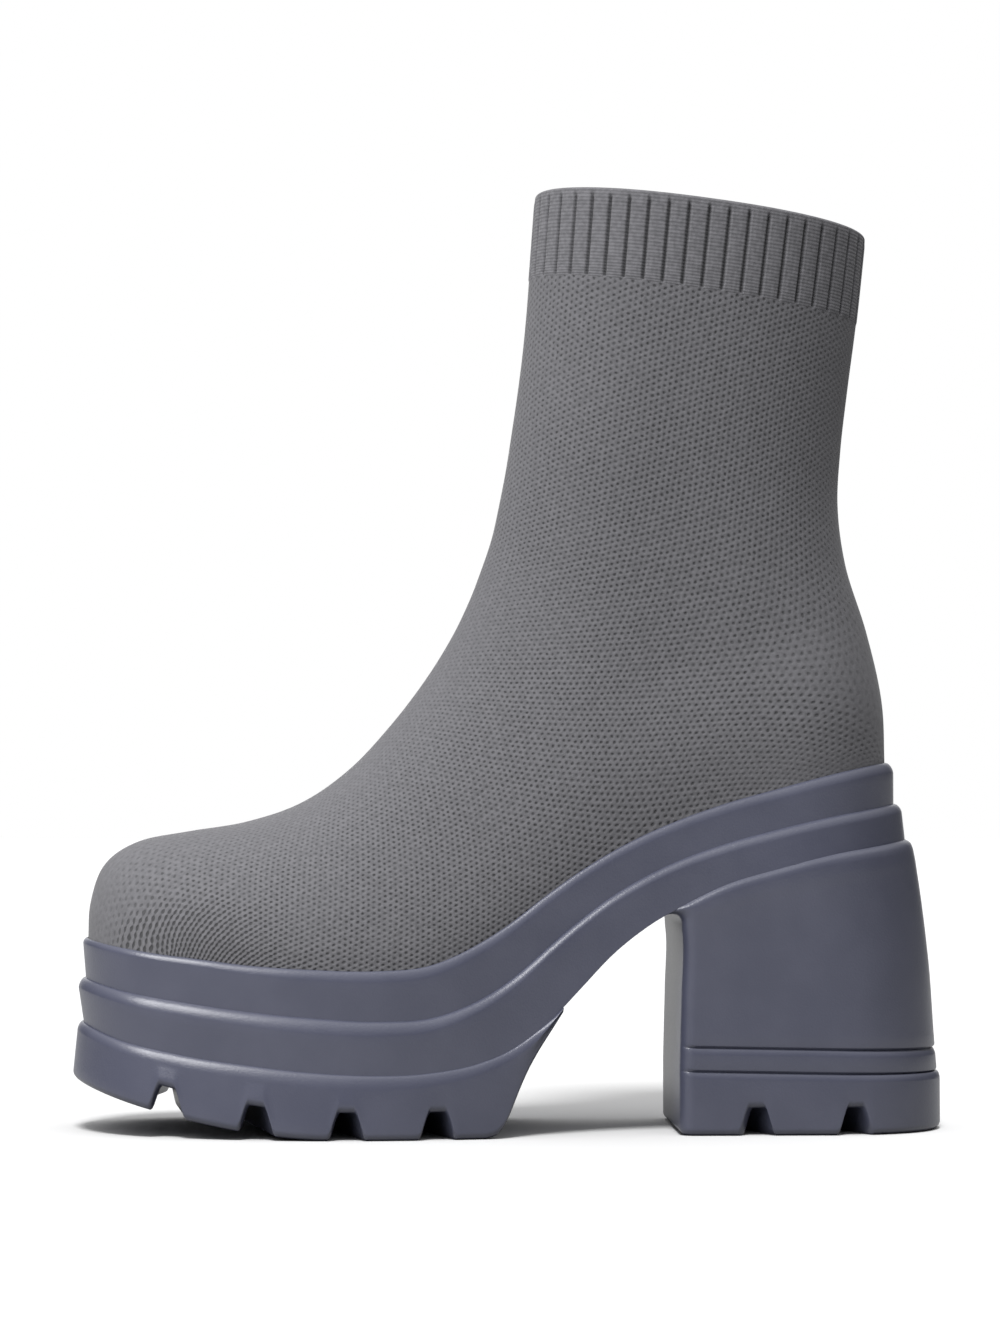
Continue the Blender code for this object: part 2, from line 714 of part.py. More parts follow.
def heel_loop(stations, front, back, outer, inner, inset=0.0, groove=0.0):
    """A loop round the heel: from its back by the outer side to the breast, and back inside."""
    share = (HEEL_BASE_X - stations) / (HEEL_BASE_X - BREAST_X)
    front = front + inset
    back = back - inset - groove
    radius = HEEL_CORNER - inset
    x = back - share * (back - front)
    shy = radius - np.clip(x - front, 0, radius)
    corner = radius - np.sqrt(radius ** 2 - shy ** 2)
    shrink = inset + groove * (1 - shy / radius)
    full = round_end(back - x, HEEL_BACK_ROUND, HEEL_SQUARE)
    outer_y = AXIS_Y - (outer - shrink) * full + corner
    inner_y = AXIS_Y + (inner - shrink) * full - corner
    y = np.concatenate([outer_y, inner_y[:0:-1]])
    x = both_sides(x)
    return np.stack([x, y, joint_z(x)], axis=1)


def heel_plan(share):
    """Breast, back and half widths of the block heel at a share of its height."""
    names = ("front", "back", "outer", "inner")
    return [float(np.interp(share, HEEL_LEVELS["share"], HEEL_LEVELS[name])) for name in names]


def build_heel_block():
    """The block heel from the joint with its top piece up to the lowest step of the side."""
    stations = heel_stations()[::-1]
    grooves = [
        (0.0, GROOVE_DEPTH),
        (GROOVE_HALF, 0.0),
        (GROOVE_UP - GROOVE_HALF, 0.0),
        (GROOVE_UP, GROOVE_DEPTH),
        (GROOVE_UP + GROOVE_HALF, 0.0),
    ]
    loops = []
    for rise, groove in grooves:
        loop = heel_loop(stations, *heel_plan(rise / HEEL_HEIGHT), groove=groove)
        loop[:, 2] += FIT_GAP / 2 + rise
        loops.append(loop)
    for share in HEEL_LEVELS["share"][1:]:
        loop = heel_loop(stations, *heel_plan(share))
        low = loop[:, 2] + FIT_GAP / 2
        top = side_line("lower_step", loop[:, 0]) - FIT_GAP
        loop[:, 2] = low + share * (top - low)
        loops.append(loop)
    return stack("heel_block", loops)


def build_heel_top_piece():
    """The lugged wear piece under the block heel."""
    stations = merge_stations(heel_stations(), gap_stations(HEEL_GAP_XS))[::-1]
    _, _, outer, inner = heel_plan(0.0)
    plan = (BREAST_X, HEEL_BASE_X, outer, inner)
    loops = []
    for turn in quarter(LUG_CUTS):
        loop = heel_loop(stations, *plan, inset=LUG_ROUND * (1 - math.sin(turn)))
        rise = gap_rise(stations, HEEL_GAP_XS) + LUG_ROUND * (1 - math.cos(turn))
        loop[:, 2] = both_sides(rise)
        loops.append(loop)
    for drop, groove in ((GROOVE_HALF, 0.0), (0.0, GROOVE_DEPTH)):
        loop = heel_loop(stations, *plan, groove=groove)
        loop[:, 2] -= FIT_GAP / 2 + drop
        loops.append(loop)
    bend = tread_bends(stations, CHEVRON_FADE)
    return stack("heel_top_piece", loops, np.stack([bend, np.zeros(bend.shape)], axis=1))


def paint(part, name, colour, roughness):
    """Give a piece its own plain material."""
    material = bpy.data.materials.new(name)
    material.use_nodes = True
    shader = material.node_tree.nodes["Principled BSDF"]
    shader.inputs["Base Color"].default_value = (*colour, 1.0)
    shader.inputs["Roughness"].default_value = roughness
    shader.inputs["Metallic"].default_value = 0.0
    part.data.materials.append(material)


for old in list(bpy.data.objects):
    bpy.data.objects.remove(old, do_unlink=True)

paint(build_upper(), "upper_knit", KNIT_GREY, KNIT_ROUGHNESS)
paint(build_insole(), "insole_board", BOARD_GREY, KNIT_ROUGHNESS)
paint(build_midsole(), "midsole_rubber", SOLE_GREY, SOLE_ROUGHNESS)
paint(build_outsole(), "outsole_rubber", SOLE_GREY, SOLE_ROUGHNESS)
paint(build_heel_block(), "heel_rubber", SOLE_GREY, SOLE_ROUGHNESS)
paint(build_heel_top_piece(), "top_piece_rubber", SOLE_GREY, SOLE_ROUGHNESS)
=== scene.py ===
# %% [markdown]
# # Dressing a knit ankle boot
# The boot has a sock-like upper that is knitted whole, on a stepped platform sole with a block heel.
# Its solids are built already, at their real size. This lesson keeps their sizes, rebuilds each
# piece as a fine mesh, and gives each a finish of its own: eyelet knit, rib knit, cloth and rubber.
# The first cell loads the solids.

# %% Load the solids
import math

import bmesh
import bpy
import numpy as np
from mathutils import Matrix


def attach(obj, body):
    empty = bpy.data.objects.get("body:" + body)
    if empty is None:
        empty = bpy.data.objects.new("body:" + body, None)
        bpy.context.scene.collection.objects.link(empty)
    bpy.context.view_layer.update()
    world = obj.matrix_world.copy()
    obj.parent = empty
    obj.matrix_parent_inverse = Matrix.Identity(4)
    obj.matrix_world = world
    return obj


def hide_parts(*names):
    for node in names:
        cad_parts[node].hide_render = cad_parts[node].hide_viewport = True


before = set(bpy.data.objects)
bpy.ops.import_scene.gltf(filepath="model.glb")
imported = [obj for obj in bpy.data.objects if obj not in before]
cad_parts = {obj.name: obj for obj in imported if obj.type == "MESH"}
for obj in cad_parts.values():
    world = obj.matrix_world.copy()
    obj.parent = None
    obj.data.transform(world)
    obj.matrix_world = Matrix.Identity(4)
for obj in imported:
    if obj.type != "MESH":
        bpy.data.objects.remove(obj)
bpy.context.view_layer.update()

# %% [markdown]
# ## Helpers for node trees
# Materials, light and repeated shapes are all built as node trees. A short helper adds a node, and
# fills each of its inputs either with a plain value or with a link from another node's output.

# %% Node helpers


def add_node(tree, kind, inputs=None, **settings):
    """Add a node, make its own settings, and fill its inputs with values or links."""
    made = tree.nodes.new(kind)
    for name, value in settings.items():
        setattr(made, name, value)
    for name, value in (inputs or {}).items():
        if isinstance(value, bpy.types.NodeSocket):
            tree.links.new(value, made.inputs[name])
        else:
            made.inputs[name].default_value = value
    return made


def calculate(tree, operation, first, second=0.0, third=0.0):
    """One step of arithmetic on a value that varies over the surface."""
    made = add_node(tree, "ShaderNodeMath", {0: first, 1: second, 2: third}, operation=operation)
    return made.outputs[0]


def remap(tree, value, from_low, from_high, to_low=0.0, to_high=1.0):
    """Map one range of a value to another, with a soft start and end."""
    made = add_node(tree, "ShaderNodeMapRange", {
        "Value": value, "From Min": from_low, "From Max": from_high,
        "To Min": to_low, "To Max": to_high}, interpolation_type="SMOOTHSTEP")
    return made.outputs[0]


def noise(tree, place, scale, detail=2.0):
    """Soft random values round 0.5, with about this many blobs to a metre."""
    return add_node(tree, "ShaderNodeTexNoise", {
        "Vector": place, "Scale": scale, "Detail": detail, "Roughness": 0.5})


def mix_colour(tree, factor, first, second):
    """Blend two colours by a value that varies over the surface."""
    made = add_node(tree, "ShaderNodeMix", {0: factor, 6: first, 7: second}, data_type="RGBA")
    return made.outputs[2]


def new_group(name, kind, inputs, outputs):
    """A node group with named inputs and outputs, and its two end nodes."""
    tree = bpy.data.node_groups.new(name, kind)
    for label, socket, value in inputs:
        made = tree.interface.new_socket(label, in_out="INPUT", socket_type=socket)
        if value is not None:
            made.default_value = value
    for label, socket in outputs:
        tree.interface.new_socket(label, in_out="OUTPUT", socket_type=socket)
    return tree, tree.nodes.new("NodeGroupInput"), tree.nodes.new("NodeGroupOutput")


def use_group(tree, group, inputs):
    """Put a shader node group into a material."""
    return add_node(tree, "ShaderNodeGroup", inputs, node_tree=group)


print("node helpers ready")

# %% [markdown]
# ## The camera
# The picture was taken from low in front of the outer side, from about a metre away. Matching the
# boot's outline to the picture gave the camera's place and the point that it looks at, so the lens
# needs no shift. The long side of the picture sees the whole width of the sensor.

# %% Camera
CAMERA_PLACE = (-0.0418, -1.0977, 0.092)
CAMERA_TARGET = (-0.0022, 0.0, 0.1422)
FOCAL_PIXELS = 3548.0
PICTURE_PIXELS = 1333.0
SENSOR = 36.0


def aim(target):
    """Turns that point a camera or a lamp along a direction."""
    rise = math.atan2(target[2], math.hypot(target[0], target[1]))
    return rise + math.pi / 2, 0, math.atan2(-target[0], target[1])


scene = bpy.context.scene
camera_data = bpy.data.cameras.new("photo_camera")
camera_data.sensor_width = SENSOR
camera_data.lens = FOCAL_PIXELS / PICTURE_PIXELS * SENSOR
camera_data.clip_start = 0.01
camera = bpy.data.objects.new("photo_camera", camera_data)
scene.collection.objects.link(camera)
camera.location = CAMERA_PLACE
camera.rotation_euler = aim(np.subtract(CAMERA_TARGET, CAMERA_PLACE))
scene.camera = camera
print("lens", round(camera_data.lens, 2), "mm")

# %% [markdown]
# ## A white studio
# The boot stands on a white sweep under a pale sky that is brightest overhead. The camera sees the sky
# as white. Gloss also mirrors a white backdrop behind the boot, which brightens the front of the heel
# under the arch. A lamp there could do the same, but it would light the knit as well.

# %% Sky
SKY_SIDE = 0.06
SKY_TOP = 1.1
BACKDROP = 1.0
BACKDROP_EDGE = (0.3, 0.8)

world = bpy.data.worlds.new("studio_sky")
world.use_nodes = True
scene.world = world
tree = world.node_tree
tree.nodes.clear()
towards = add_node(tree, "ShaderNodeTexCoord").outputs["Generated"]
parts = add_node(tree, "ShaderNodeSeparateXYZ", {0: towards}).outputs
upward = calculate(tree, "MAXIMUM", parts[2], 0.0)
sky_level = calculate(tree, "MULTIPLY_ADD", calculate(tree, "POWER", upward, 2.0), SKY_TOP, SKY_SIDE)
light_path = add_node(tree, "ShaderNodeLightPath")
behind = calculate(tree, "SUBTRACT", parts[1], calculate(tree, "ABSOLUTE", parts[0]))
backdrop = remap(tree, behind, *BACKDROP_EDGE, 0.0, BACKDROP)
sky_level = calculate(tree, "MULTIPLY_ADD", backdrop, light_path.outputs["Is Glossy Ray"], sky_level)
light_sky = add_node(tree, "ShaderNodeBackground", {"Color": (1, 1, 1, 1), "Strength": sky_level})
seen_sky = add_node(tree, "ShaderNodeBackground", {"Color": (1, 1, 1, 1), "Strength": 1.0})
sky = add_node(tree, "ShaderNodeMixShader", {
    0: light_path.outputs["Is Camera Ray"], 1: light_sky.outputs[0], 2: seen_sky.outputs[0]})
add_node(tree, "ShaderNodeOutputWorld", {"Surface": sky.outputs[0]})
print("sky from", SKY_SIDE, "at the side to", SKY_SIDE + SKY_TOP, "overhead")

# %% [markdown]
# A white floor would throw back so much light that the shapes went flat. So the floor asks what kind
# of ray meets it: the camera sees it white, gloss sees it darker, and other light meets a grey.

# %% Floor
FLOOR_SEEN = (0.93, 0.93, 0.93, 1.0)
FLOOR_BOUNCE = (0.30, 0.30, 0.30, 1.0)
FLOOR_GLOSS = 0.36
FLOOR_ROUGH = 0.9
FLOOR_RADIUS = 30.0
FLOOR_SIDES = 64

floor_material = bpy.data.materials.new("white_sweep")
floor_material.use_nodes = True
tree = floor_material.node_tree
floor_shader = tree.nodes["Principled BSDF"]
floor_shader.inputs["Roughness"].default_value = FLOOR_ROUGH
floor_shader.inputs["Specular IOR Level"].default_value = 0.0
light_path = add_node(tree, "ShaderNodeLightPath")
seen = calculate(tree, "MULTIPLY_ADD", light_path.outputs["Is Glossy Ray"], FLOOR_GLOSS,
                 light_path.outputs["Is Camera Ray"])
tree.links.new(mix_colour(tree, seen, FLOOR_BOUNCE, FLOOR_SEEN), floor_shader.inputs["Base Color"])

floor_mesh = bpy.data.meshes.new("floor")
turns = np.linspace(0, 2 * math.pi, FLOOR_SIDES, endpoint=False)
corners = [(FLOOR_RADIUS * math.cos(turn), FLOOR_RADIUS * math.sin(turn), 0) for turn in turns]
floor_mesh.from_pydata(corners, [], [list(range(len(corners)))])
floor_mesh.materials.append(floor_material)
floor = bpy.data.objects.new("floor", floor_mesh)
scene.collection.objects.link(floor)
print("floor of radius", FLOOR_RADIUS, "m")

# %% [markdown]
# A lamp high in front lays the shadow behind the boot. Two round soft boxes stand close by: one on the
# toe side models the shape, and one at the front left draws the streaks on the lips of the sole. A
# small lamp that only gloss sees makes the lips brighter, and a fill from behind keeps the inner side
# clear. All but the front lamp are linked to the boot, so that only one shadow falls on the floor.

# %% Lamps
FRONT_LAMP = {"from": (-0.05, -0.45, 0.89), "angle": 14.0, "strength": 2.15}
TOE_LAMP = {"from": (-0.64, -0.73, 0.24), "wide": 0.80, "strength": 1.65}
STREAK_LAMP = {"from": (-0.65, -0.43, 0.63), "wide": 0.64, "strength": 1.75}
LIP_LAMP = {"from": (-0.54, -0.30, 0.79), "angle": 22.0, "strength": 0.5}
BACK_LAMP = {"from": (0.0, 0.97, 0.24), "angle": 20.0, "strength": 1.2}
LAMP_AWAY = 0.9
BOOT_MIDDLE = (0.0, 0.0, 0.14)


def add_lamp(name, setting):
    """A lamp far away, or a round soft box near the boot, shining from one direction."""
    far = "angle" in setting
    data = bpy.data.lights.new(name, "SUN" if far else "AREA")
    if far:
        data.angle = math.radians(setting["angle"])
        data.energy = setting["strength"]
    else:
        data.shape = "DISK"
        data.size = setting["wide"]
        data.energy = setting["strength"] * math.pi * LAMP_AWAY ** 2
    lamp = bpy.data.objects.new(name, data)
    lamp.location = np.add(BOOT_MIDDLE, np.multiply(setting["from"], LAMP_AWAY)).tolist()
    lamp.rotation_euler = aim(np.negative(setting["from"]))
    scene.collection.objects.link(lamp)
    return lamp


front_lamp = add_lamp("front_lamp", FRONT_LAMP)
toe_lamp = add_lamp("toe_lamp", TOE_LAMP)
streak_lamp = add_lamp("streak_lamp", STREAK_LAMP)
lip_lamp = add_lamp("lip_lamp", LIP_LAMP)
back_lamp = add_lamp("back_lamp", BACK_LAMP)
for lamp in (front_lamp, toe_lamp, back_lamp):
    lamp.visible_glossy = False
lip_lamp.visible_diffuse = False
boot_pieces = bpy.data.collections.new("boot_pieces")
for lamp in (toe_lamp, streak_lamp, lip_lamp, back_lamp):
    lamp.light_linking.receiver_collection = boot_pieces
scene.view_settings.view_transform = "Standard"
print("lamps on the boot alone: toe, streak, lip and back")

# %% [markdown]
# ## The last
# Shoes are built round a last, a solid foot shape. Here the last is a few tables: its outline at the
# rim of the sole, sections from the toe to the heel, and rings from the heel up to the collar.
# A smooth curve through each table gives every size in between. Sizes are in millimetres.

# %% Outline of the last
OUTER = -1.0
INNER = 1.0
TOE_X = -129.9
HEEL_X = 116.7
TOE_SHOULDER_X = -104.0


def columns(names, rows):
    """A short table: the names of its columns, and a row of numbers for each section."""
    return dict(zip(names.split(), np.array(rows, float).T))


# Half widths of the last at the rim, before the ends are rounded
OUTLINE = columns("x outer inner", [
    (-104, 36.5, 33.5),
    (-90, 40.5, 37.6),
    (-75, 43.2, 39.6),
    (-60, 44.7, 39.9),
    (-45, 45.0, 39.0),
    (-30, 43.9, 36.8),
    (-15, 41.3, 33.6),
    (0, 38.0, 30.7),
    (15, 35.0, 28.8),
    (30, 32.8, 28.0),
    (50, 31.0, 28.1),
    (70, 30.3, 28.9),
    (92, 30.0, 29.4),
    (117, 29.6, 29.4),
])
print("last", round(HEEL_X - TOE_X, 1), "mm long at the rim")

# %% Lines of the sole's side
# Heights of the lines along the side of the sole: its rim and its two steps
SIDE_LINES = columns("x rim upper_step lower_step", [
    (-132, 59.4, 44.9, 32.2),
    (-117, 57.0, 41.0, 26.8),
    (-99, 54.0, 37.7, 22.5),
    (-80, 51.2, 34.9, 19.4),
    (-60, 49.7, 32.9, 16.9),
    (-40, 49.5, 32.0, 16.4),
    (-25, 51.0, 33.3, 17.6),
    (-10, 57.2, 39.2, 21.0),
    (0, 63.2, 45.5, 25.6),
    (10, 70.6, 53.4, 33.4),
    (20, 77.9, 61.3, 43.7),
    (30, 84.4, 69.0, 54.0),
    (40, 89.9, 75.7, 61.9),
    (50, 94.4, 81.1, 68.1),
    (62, 98.8, 86.1, 74.3),
    (81, 104.2, 91.9, 80.1),
    (97, 108.4, 95.8, 84.0),
    (112, 111.6, 98.6, 86.4),
    (124, 113.4, 100.8, 88.4),
])

# How far each step of the sole stands out from the last, at its top and at its foot
STEP_OUT = columns("x rim_top rim_foot mid_top mid_foot low_top low_foot", [
    (-131, 1.5, 0.6, 2.8, 1.2, 3.1, 4.3),
    (-60, 1.9, 1.2, 3.6, 2.6, 4.5, 5.2),
    (10, 1.9, 1.6, 3.9, 3.5, 4.6, 3.7),
    (60, 1.9, 1.8, 3.9, 3.8, 5.2, 5.2),
    (119, 2.7, 2.7, 5.3, 6.2, 7.8, 7.8),
])
print("rim from", SIDE_LINES["rim"].min(), "to", SIDE_LINES["rim"].max(), "mm high")

# %% Sections of the upper
# Sections of the last from the toe to the heel, each from the rim up to the crest of the foot
FOOT_SECTIONS = columns("crest_x crest_z base_x outer inner crown reach", [
    (-129.9, 57.8, -104.0, 36.0, 33.0, 2.35, 26.3),
    (-129.2, 69.5, -99.0, 37.0, 34.0, 2.35, 34.5),
    (-124.9, 81.0, -92.5, 39.0, 36.0, 2.35, 43.5),
    (-114.7, 88.0, -85.0, 41.0, 38.0, 2.30, 47.4),
    (-99.0, 91.2, -75.0, 43.0, 39.5, 2.25, 47.7),
    (-81.0, 94.2, -62.0, 44.5, 40.0, 2.15, 49.6),
    (-64.0, 100.1, -46.0, 45.0, 39.2, 2.05, 54.6),
    (-49.0, 110.6, -27.0, 43.0, 37.0, 1.95, 64.3),
    (-36.0, 124.6, -5.0, 39.5, 34.0, 1.90, 70.4),
    (-25.5, 138.5, 18.0, 36.4, 32.4, 1.90, 72.5),
    (-17.5, 151.5, 42.0, 34.5, 31.8, 1.95, 75.0),
    (-12.0, 163.0, 66.0, 33.5, 32.0, 2.00, 77.5),
    (-8.5, 172.2, 89.0, 33.0, 32.2, 2.05, 79.0),
    (-6.2, 178.8, 106.0, 32.9, 32.4, 2.10, 78.5),
])

# Sections from the heel to the collar, each from the back of the shaft to its front
SHAFT_SECTIONS = columns("crest_x crest_z base_x base_z outer inner crown reach", [
    (-4.6, 184.5, 116.7, 111.8, 32.9, 32.6, 2.12, 75.5),
    (-2.6, 194.0, 116.0, 130.0, 32.9, 32.7, 2.15, 69.5),
    (-0.7, 204.0, 111.2, 153.0, 33.0, 32.9, 2.18, 62.8),
    (1.0, 215.0, 104.8, 174.0, 33.3, 33.2, 2.20, 56.8),
    (2.7, 226.5, 102.5, 193.0, 33.7, 33.6, 2.20, 53.2),
    (4.3, 239.0, 103.4, 209.0, 34.2, 34.1, 2.20, 51.9),
    (5.5, 251.0, 105.7, 228.5, 34.9, 34.8, 2.20, 51.5),
    (6.4, 262.5, 108.4, 248.5, 35.6, 35.5, 2.20, 51.6),
    (8.4, 289.5, 111.4, 276.0, 36.8, 36.6, 2.20, 52.0),
])
HEEL_ROW = float(len(FOOT_SECTIONS["base_x"]))
COLLAR_ROW = HEEL_ROW + len(SHAFT_SECTIONS["base_x"]) - 1
CUFF_ROW = COLLAR_ROW - 1
print("rows from toe to collar:", int(COLLAR_ROW) + 1)

# %% [markdown]
# ## Curves through the tables
# A table holds few rows, so a smooth curve through its points fills in what lies between. Straight
# lines would show as facets on the side of the sole. `smooth` is a soft step from 0 to 1, which fades
# one form into the next wherever it is used below.

# %% Smooth curves
CUP_DEPTH = 9.0


def smooth(low, high, x):
    """A soft step from 0 to 1."""
    t = np.clip((np.asarray(x, float) - low) / (high - low), 0, 1)
    return t * t * (3 - 2 * t)


def quarter(cuts):
    """Turns of a quarter round."""
    return np.linspace(0, math.pi / 2, cuts)


def curve(xs, ys, x):
    """The smooth curve through a table's points, straight beyond both ends."""
    x = np.asarray(x, float)
    slope = np.gradient(ys, xs)
    i = np.clip(np.searchsorted(xs, x) - 1, 0, len(xs) - 2)
    span = xs[i + 1] - xs[i]
    t = np.clip((x - xs[i]) / span, 0, 1)
    left = ys[i] * (1 + 2 * t) + slope[i] * span * t
    right = ys[i + 1] * (3 - 2 * t) - slope[i + 1] * span * (1 - t)
    inside = left * (1 - t) ** 2 + right * t ** 2
    before = slope[0] * np.minimum(x - xs[0], 0)
    after = slope[-1] * np.maximum(x - xs[-1], 0)
    return inside + before + after


def side_line(name, x):
    """Height of the rim or of a step at x."""
    return curve(SIDE_LINES["x"], SIDE_LINES[name], x)


def step_out(name, x):
    """How far an edge of a step stands out from the last at x."""
    return np.interp(x, STEP_OUT["x"], STEP_OUT[name])


def seat_z(x):
    """Floor of the cup, which the upper and the insole stand on."""
    return side_line("rim", x) - CUP_DEPTH


def width_column(side):
    """The table column of one side of the foot."""
    return "outer" if side == OUTER else "inner"


def envelope(x, side):
    """Half width of the last at the rim, before the ends are rounded."""
    return curve(OUTLINE["x"], OUTLINE[width_column(side)], x)


print("cup floor under the ball of the foot at", round(float(seat_z(-40.0)), 1), "mm")

# %% [markdown]
# `edge` gives the outline of the last at any distance out from it, which all the pieces of the sole
# follow. The toe bends to the inner side, and both ends are rounded with a power curve, which can be
# squarer than a circle.

# %% Outline at any distance
TINY = 0.001
TOE_CROWN = 2.35
CROWN_ROUND = 2.1
TOE_SWING = 6.0
SWING_START_X = -15.0
HEEL_ROUND = 34.0
HEEL_SQUARE = 2.2
HEEL_BASE_X = 133.2
WIDTH_CUTS = 120


def swing(x):
    """How far the middle line of the foot bends to the inner side towards the toe."""
    ahead = np.clip((SWING_START_X - np.asarray(x, float)) / (SWING_START_X - TOE_X), 0, None)
    return TOE_SWING * ahead ** 2


def round_end(depth, radius, power):
    """Share of the full width at a depth behind a rounded end."""
    short = 1 - np.clip(depth / radius, 0, 1)
    return (1 - short ** power) ** (1 / power)


def half_width(x, side):
    """Half width of the last's outline at the rim."""
    ahead = np.clip((TOE_SHOULDER_X - x) / (TOE_SHOULDER_X - TOE_X), 0, 1)
    toe = (1 - ahead ** TOE_CROWN) ** (1 / CROWN_ROUND)
    return envelope(x, side) * toe * round_end(HEEL_X - x, HEEL_ROUND, HEEL_SQUARE)


def axis_y():
    """Y of the heel's middle line, with the middle of the sole's whole width at Y = 0."""
    x = np.linspace(TOE_SHOULDER_X, HEEL_X - HEEL_ROUND, WIDTH_CUTS)
    reach_out = np.max(half_width(x, OUTER) + step_out("low_foot", x) - swing(x))
    reach_in = np.max(half_width(x, INNER) + step_out("low_foot", x) + swing(x))
    return (reach_out - reach_in) / 2


AXIS_Y = axis_y()
BOX_MIDDLE_X = (TOE_X - STEP_OUT["low_foot"][0] + HEEL_BASE_X) / 2


def edge(x, side, out):
    """Points of one side of the outline at x, moved straight out from it."""
    near = np.clip(np.stack([x - TINY, x + TINY]), TOE_X, HEEL_X)
    y = side * half_width(near, side) + swing(near)
    slope = (y[1] - y[0]) / (near[1] - near[0])
    length = np.hypot(slope, 1)
    tip = half_width(x, side) < TINY
    normal_x = np.where(tip, np.sign(x), -side * slope / length)
    normal_y = np.where(tip, 0, side / length)
    base_y = AXIS_Y + swing(x) + side * half_width(x, side)
    return x + normal_x * out, base_y + normal_y * out


print("middle of the heel at y =", round(float(AXIS_Y), 2), "mm")

# %% [markdown]
# `section_points` gives the skin of the upper, from the rim over the crest of the foot, or from the back
# of the shaft round to its front. A knit clings, so its side is drawn in a little above the heel, and
# more beside the heel tendon.

# %% Skin of the upper
CLOSING_ROWS = (HEEL_ROW - 4, HEEL_ROW)
BODY_ROWS = (4.0, 9.0)
SHAFT_ROUND = 51.0
SHAFT_HEIGHTS = (112.0, 212.0)
BODY_RISE = 42.0
SKIN_TUCK = 1.0
RIM_TUCK = 0.4
RIM_TUCK_HEIGHT = 8.0
FLARE = 3.6
FLARE_XS = (15.0, 55.0)
FLARE_RISE = (12.0, 50.0)
FLARE_FALL = (60.0, 215.0)
HOLLOW = 1.2
HOLLOW_XS = (66.0, 86.0)
HOLLOW_MID = 54.0
HOLLOW_REACH = 22.0


def along(name, row):
    """A column of the foot and shaft sections at a row, between rows as well."""
    values = np.concatenate([FOOT_SECTIONS[name], SHAFT_SECTIONS[name]])
    return curve(np.arange(len(values), dtype=float), values, row)


def back_x(z):
    """X of the back of heel and shaft at a height."""
    line = curve(SHAFT_SECTIONS["base_z"], SHAFT_SECTIONS["base_x"], z)
    return np.where(z < SHAFT_SECTIONS["base_z"][0], HEEL_X, line)


def section_base(row):
    """Where a section starts: on the rim of the sole, or on the back of the shaft."""
    foot_x = np.append(FOOT_SECTIONS["base_x"], HEEL_X)
    rim_x = curve(np.arange(HEEL_ROW + 1), foot_x, np.minimum(row, HEEL_ROW))
    rim_z = side_line("rim", rim_x) - SKIN_TUCK
    shaft_rows = np.arange(HEEL_ROW, COLLAR_ROW + 1)
    shaft_z = curve(shaft_rows, SHAFT_SECTIONS["base_z"], np.maximum(row, HEEL_ROW))
    on_rim = row <= HEEL_ROW
    return np.where(on_rim, rim_x, back_x(shaft_z)), np.where(on_rim, rim_z, shaft_z)


def section_points(row, share, side):
    """Points of the upper's outer skin: share 0 is the rim or the back, share 1 the crest."""
    base_x, base_z = section_base(row)
    crest_x = along("crest_x", row)
    crest_z = along("crest_z", row)
    x = base_x + share * (crest_x - base_x)
    z = base_z + share * (crest_z - base_z)
    length = np.hypot(crest_x - base_x, crest_z - base_z)
    reach = np.minimum(along("reach", row), length)
    up = np.clip(1 - (1 - share) * length / reach, 0, 1)
    front = (1 - up ** along("crown", row)) ** (1 / CROWN_ROUND)
    behind = HEEL_ROUND + (SHAFT_ROUND - HEEL_ROUND) * smooth(*SHAFT_HEIGHTS, z)
    back = round_end(back_x(z) - x, behind, HEEL_SQUARE)
    above = z - side_line("rim", x) + SKIN_TUCK
    rim_half = envelope(x, side)
    full = along(width_column(side), row)
    half = rim_half + (full - rim_half) * smooth(0, BODY_RISE, above) * smooth(*BODY_ROWS, row)
    flare = smooth(*FLARE_RISE, above) * (1 - smooth(*FLARE_FALL, above))
    half -= FLARE * flare * smooth(*FLARE_XS, x)
    hollow = np.exp(-((above - HOLLOW_MID) / HOLLOW_REACH) ** 2)
    half -= HOLLOW * hollow * smooth(*HOLLOW_XS, x)
    half -= RIM_TUCK * (1 - smooth(0, RIM_TUCK_HEIGHT, above))
    y = AXIS_Y + swing(x) + side * half * front * back
    return np.stack(np.broadcast_arrays(x, y, z), axis=-1)


def section_line(row, cuts):
    """One section of the skin from the outer side over the crest to the inner side."""
    turn = np.linspace(0, 1, cuts)
    closed = smooth(*CLOSING_ROWS, row)
    arch = np.sin(turn * math.pi / 2)
    ring = (1 - np.cos(turn * math.pi)) / 2
    share = arch + (ring - arch) * closed
    outer = section_points(row, share, OUTER)
    inner = section_points(row, share, INNER)
    return np.concatenate([outer, inner[-2::-1]])


print("collar at", *section_points(COLLAR_ROW, 1.0, OUTER).round(1), "mm")

# %% [markdown]
# ## Building meshes
# Every piece is a loft: rings of points laid one on the next and joined by bands of quads. A face
# is shaded smooth, and an edge stays crisp only where two faces meet at more than a set angle.

# %% Loft helpers
MM = 0.001
CRISP_ANGLE = math.radians(34)


def new_object(name, bm, *materials):
    """Turn a finished mesh into a named object, its faces turned outwards and smooth."""
    bmesh.ops.recalc_face_normals(bm, faces=bm.faces[:])
    mesh = bpy.data.meshes.new(name)
    bm.to_mesh(mesh)
    bm.free()
    mesh.shade_smooth()
    mesh.set_sharp_from_angle(angle=CRISP_ANGLE)
    for material in materials:
        mesh.materials.append(material)
    piece = bpy.data.objects.new(name, mesh)
    scene.collection.objects.link(piece)
    boot_pieces.objects.link(piece)
    return piece


def add_points(bm, points):
    """Add points given in millimetres, with the middle of the whole boot at X = 0."""
    metres = (np.asarray(points, float) - (BOX_MIDDLE_X, 0, 0)) * MM
    return [bm.verts.new(point) for point in metres.tolist()]


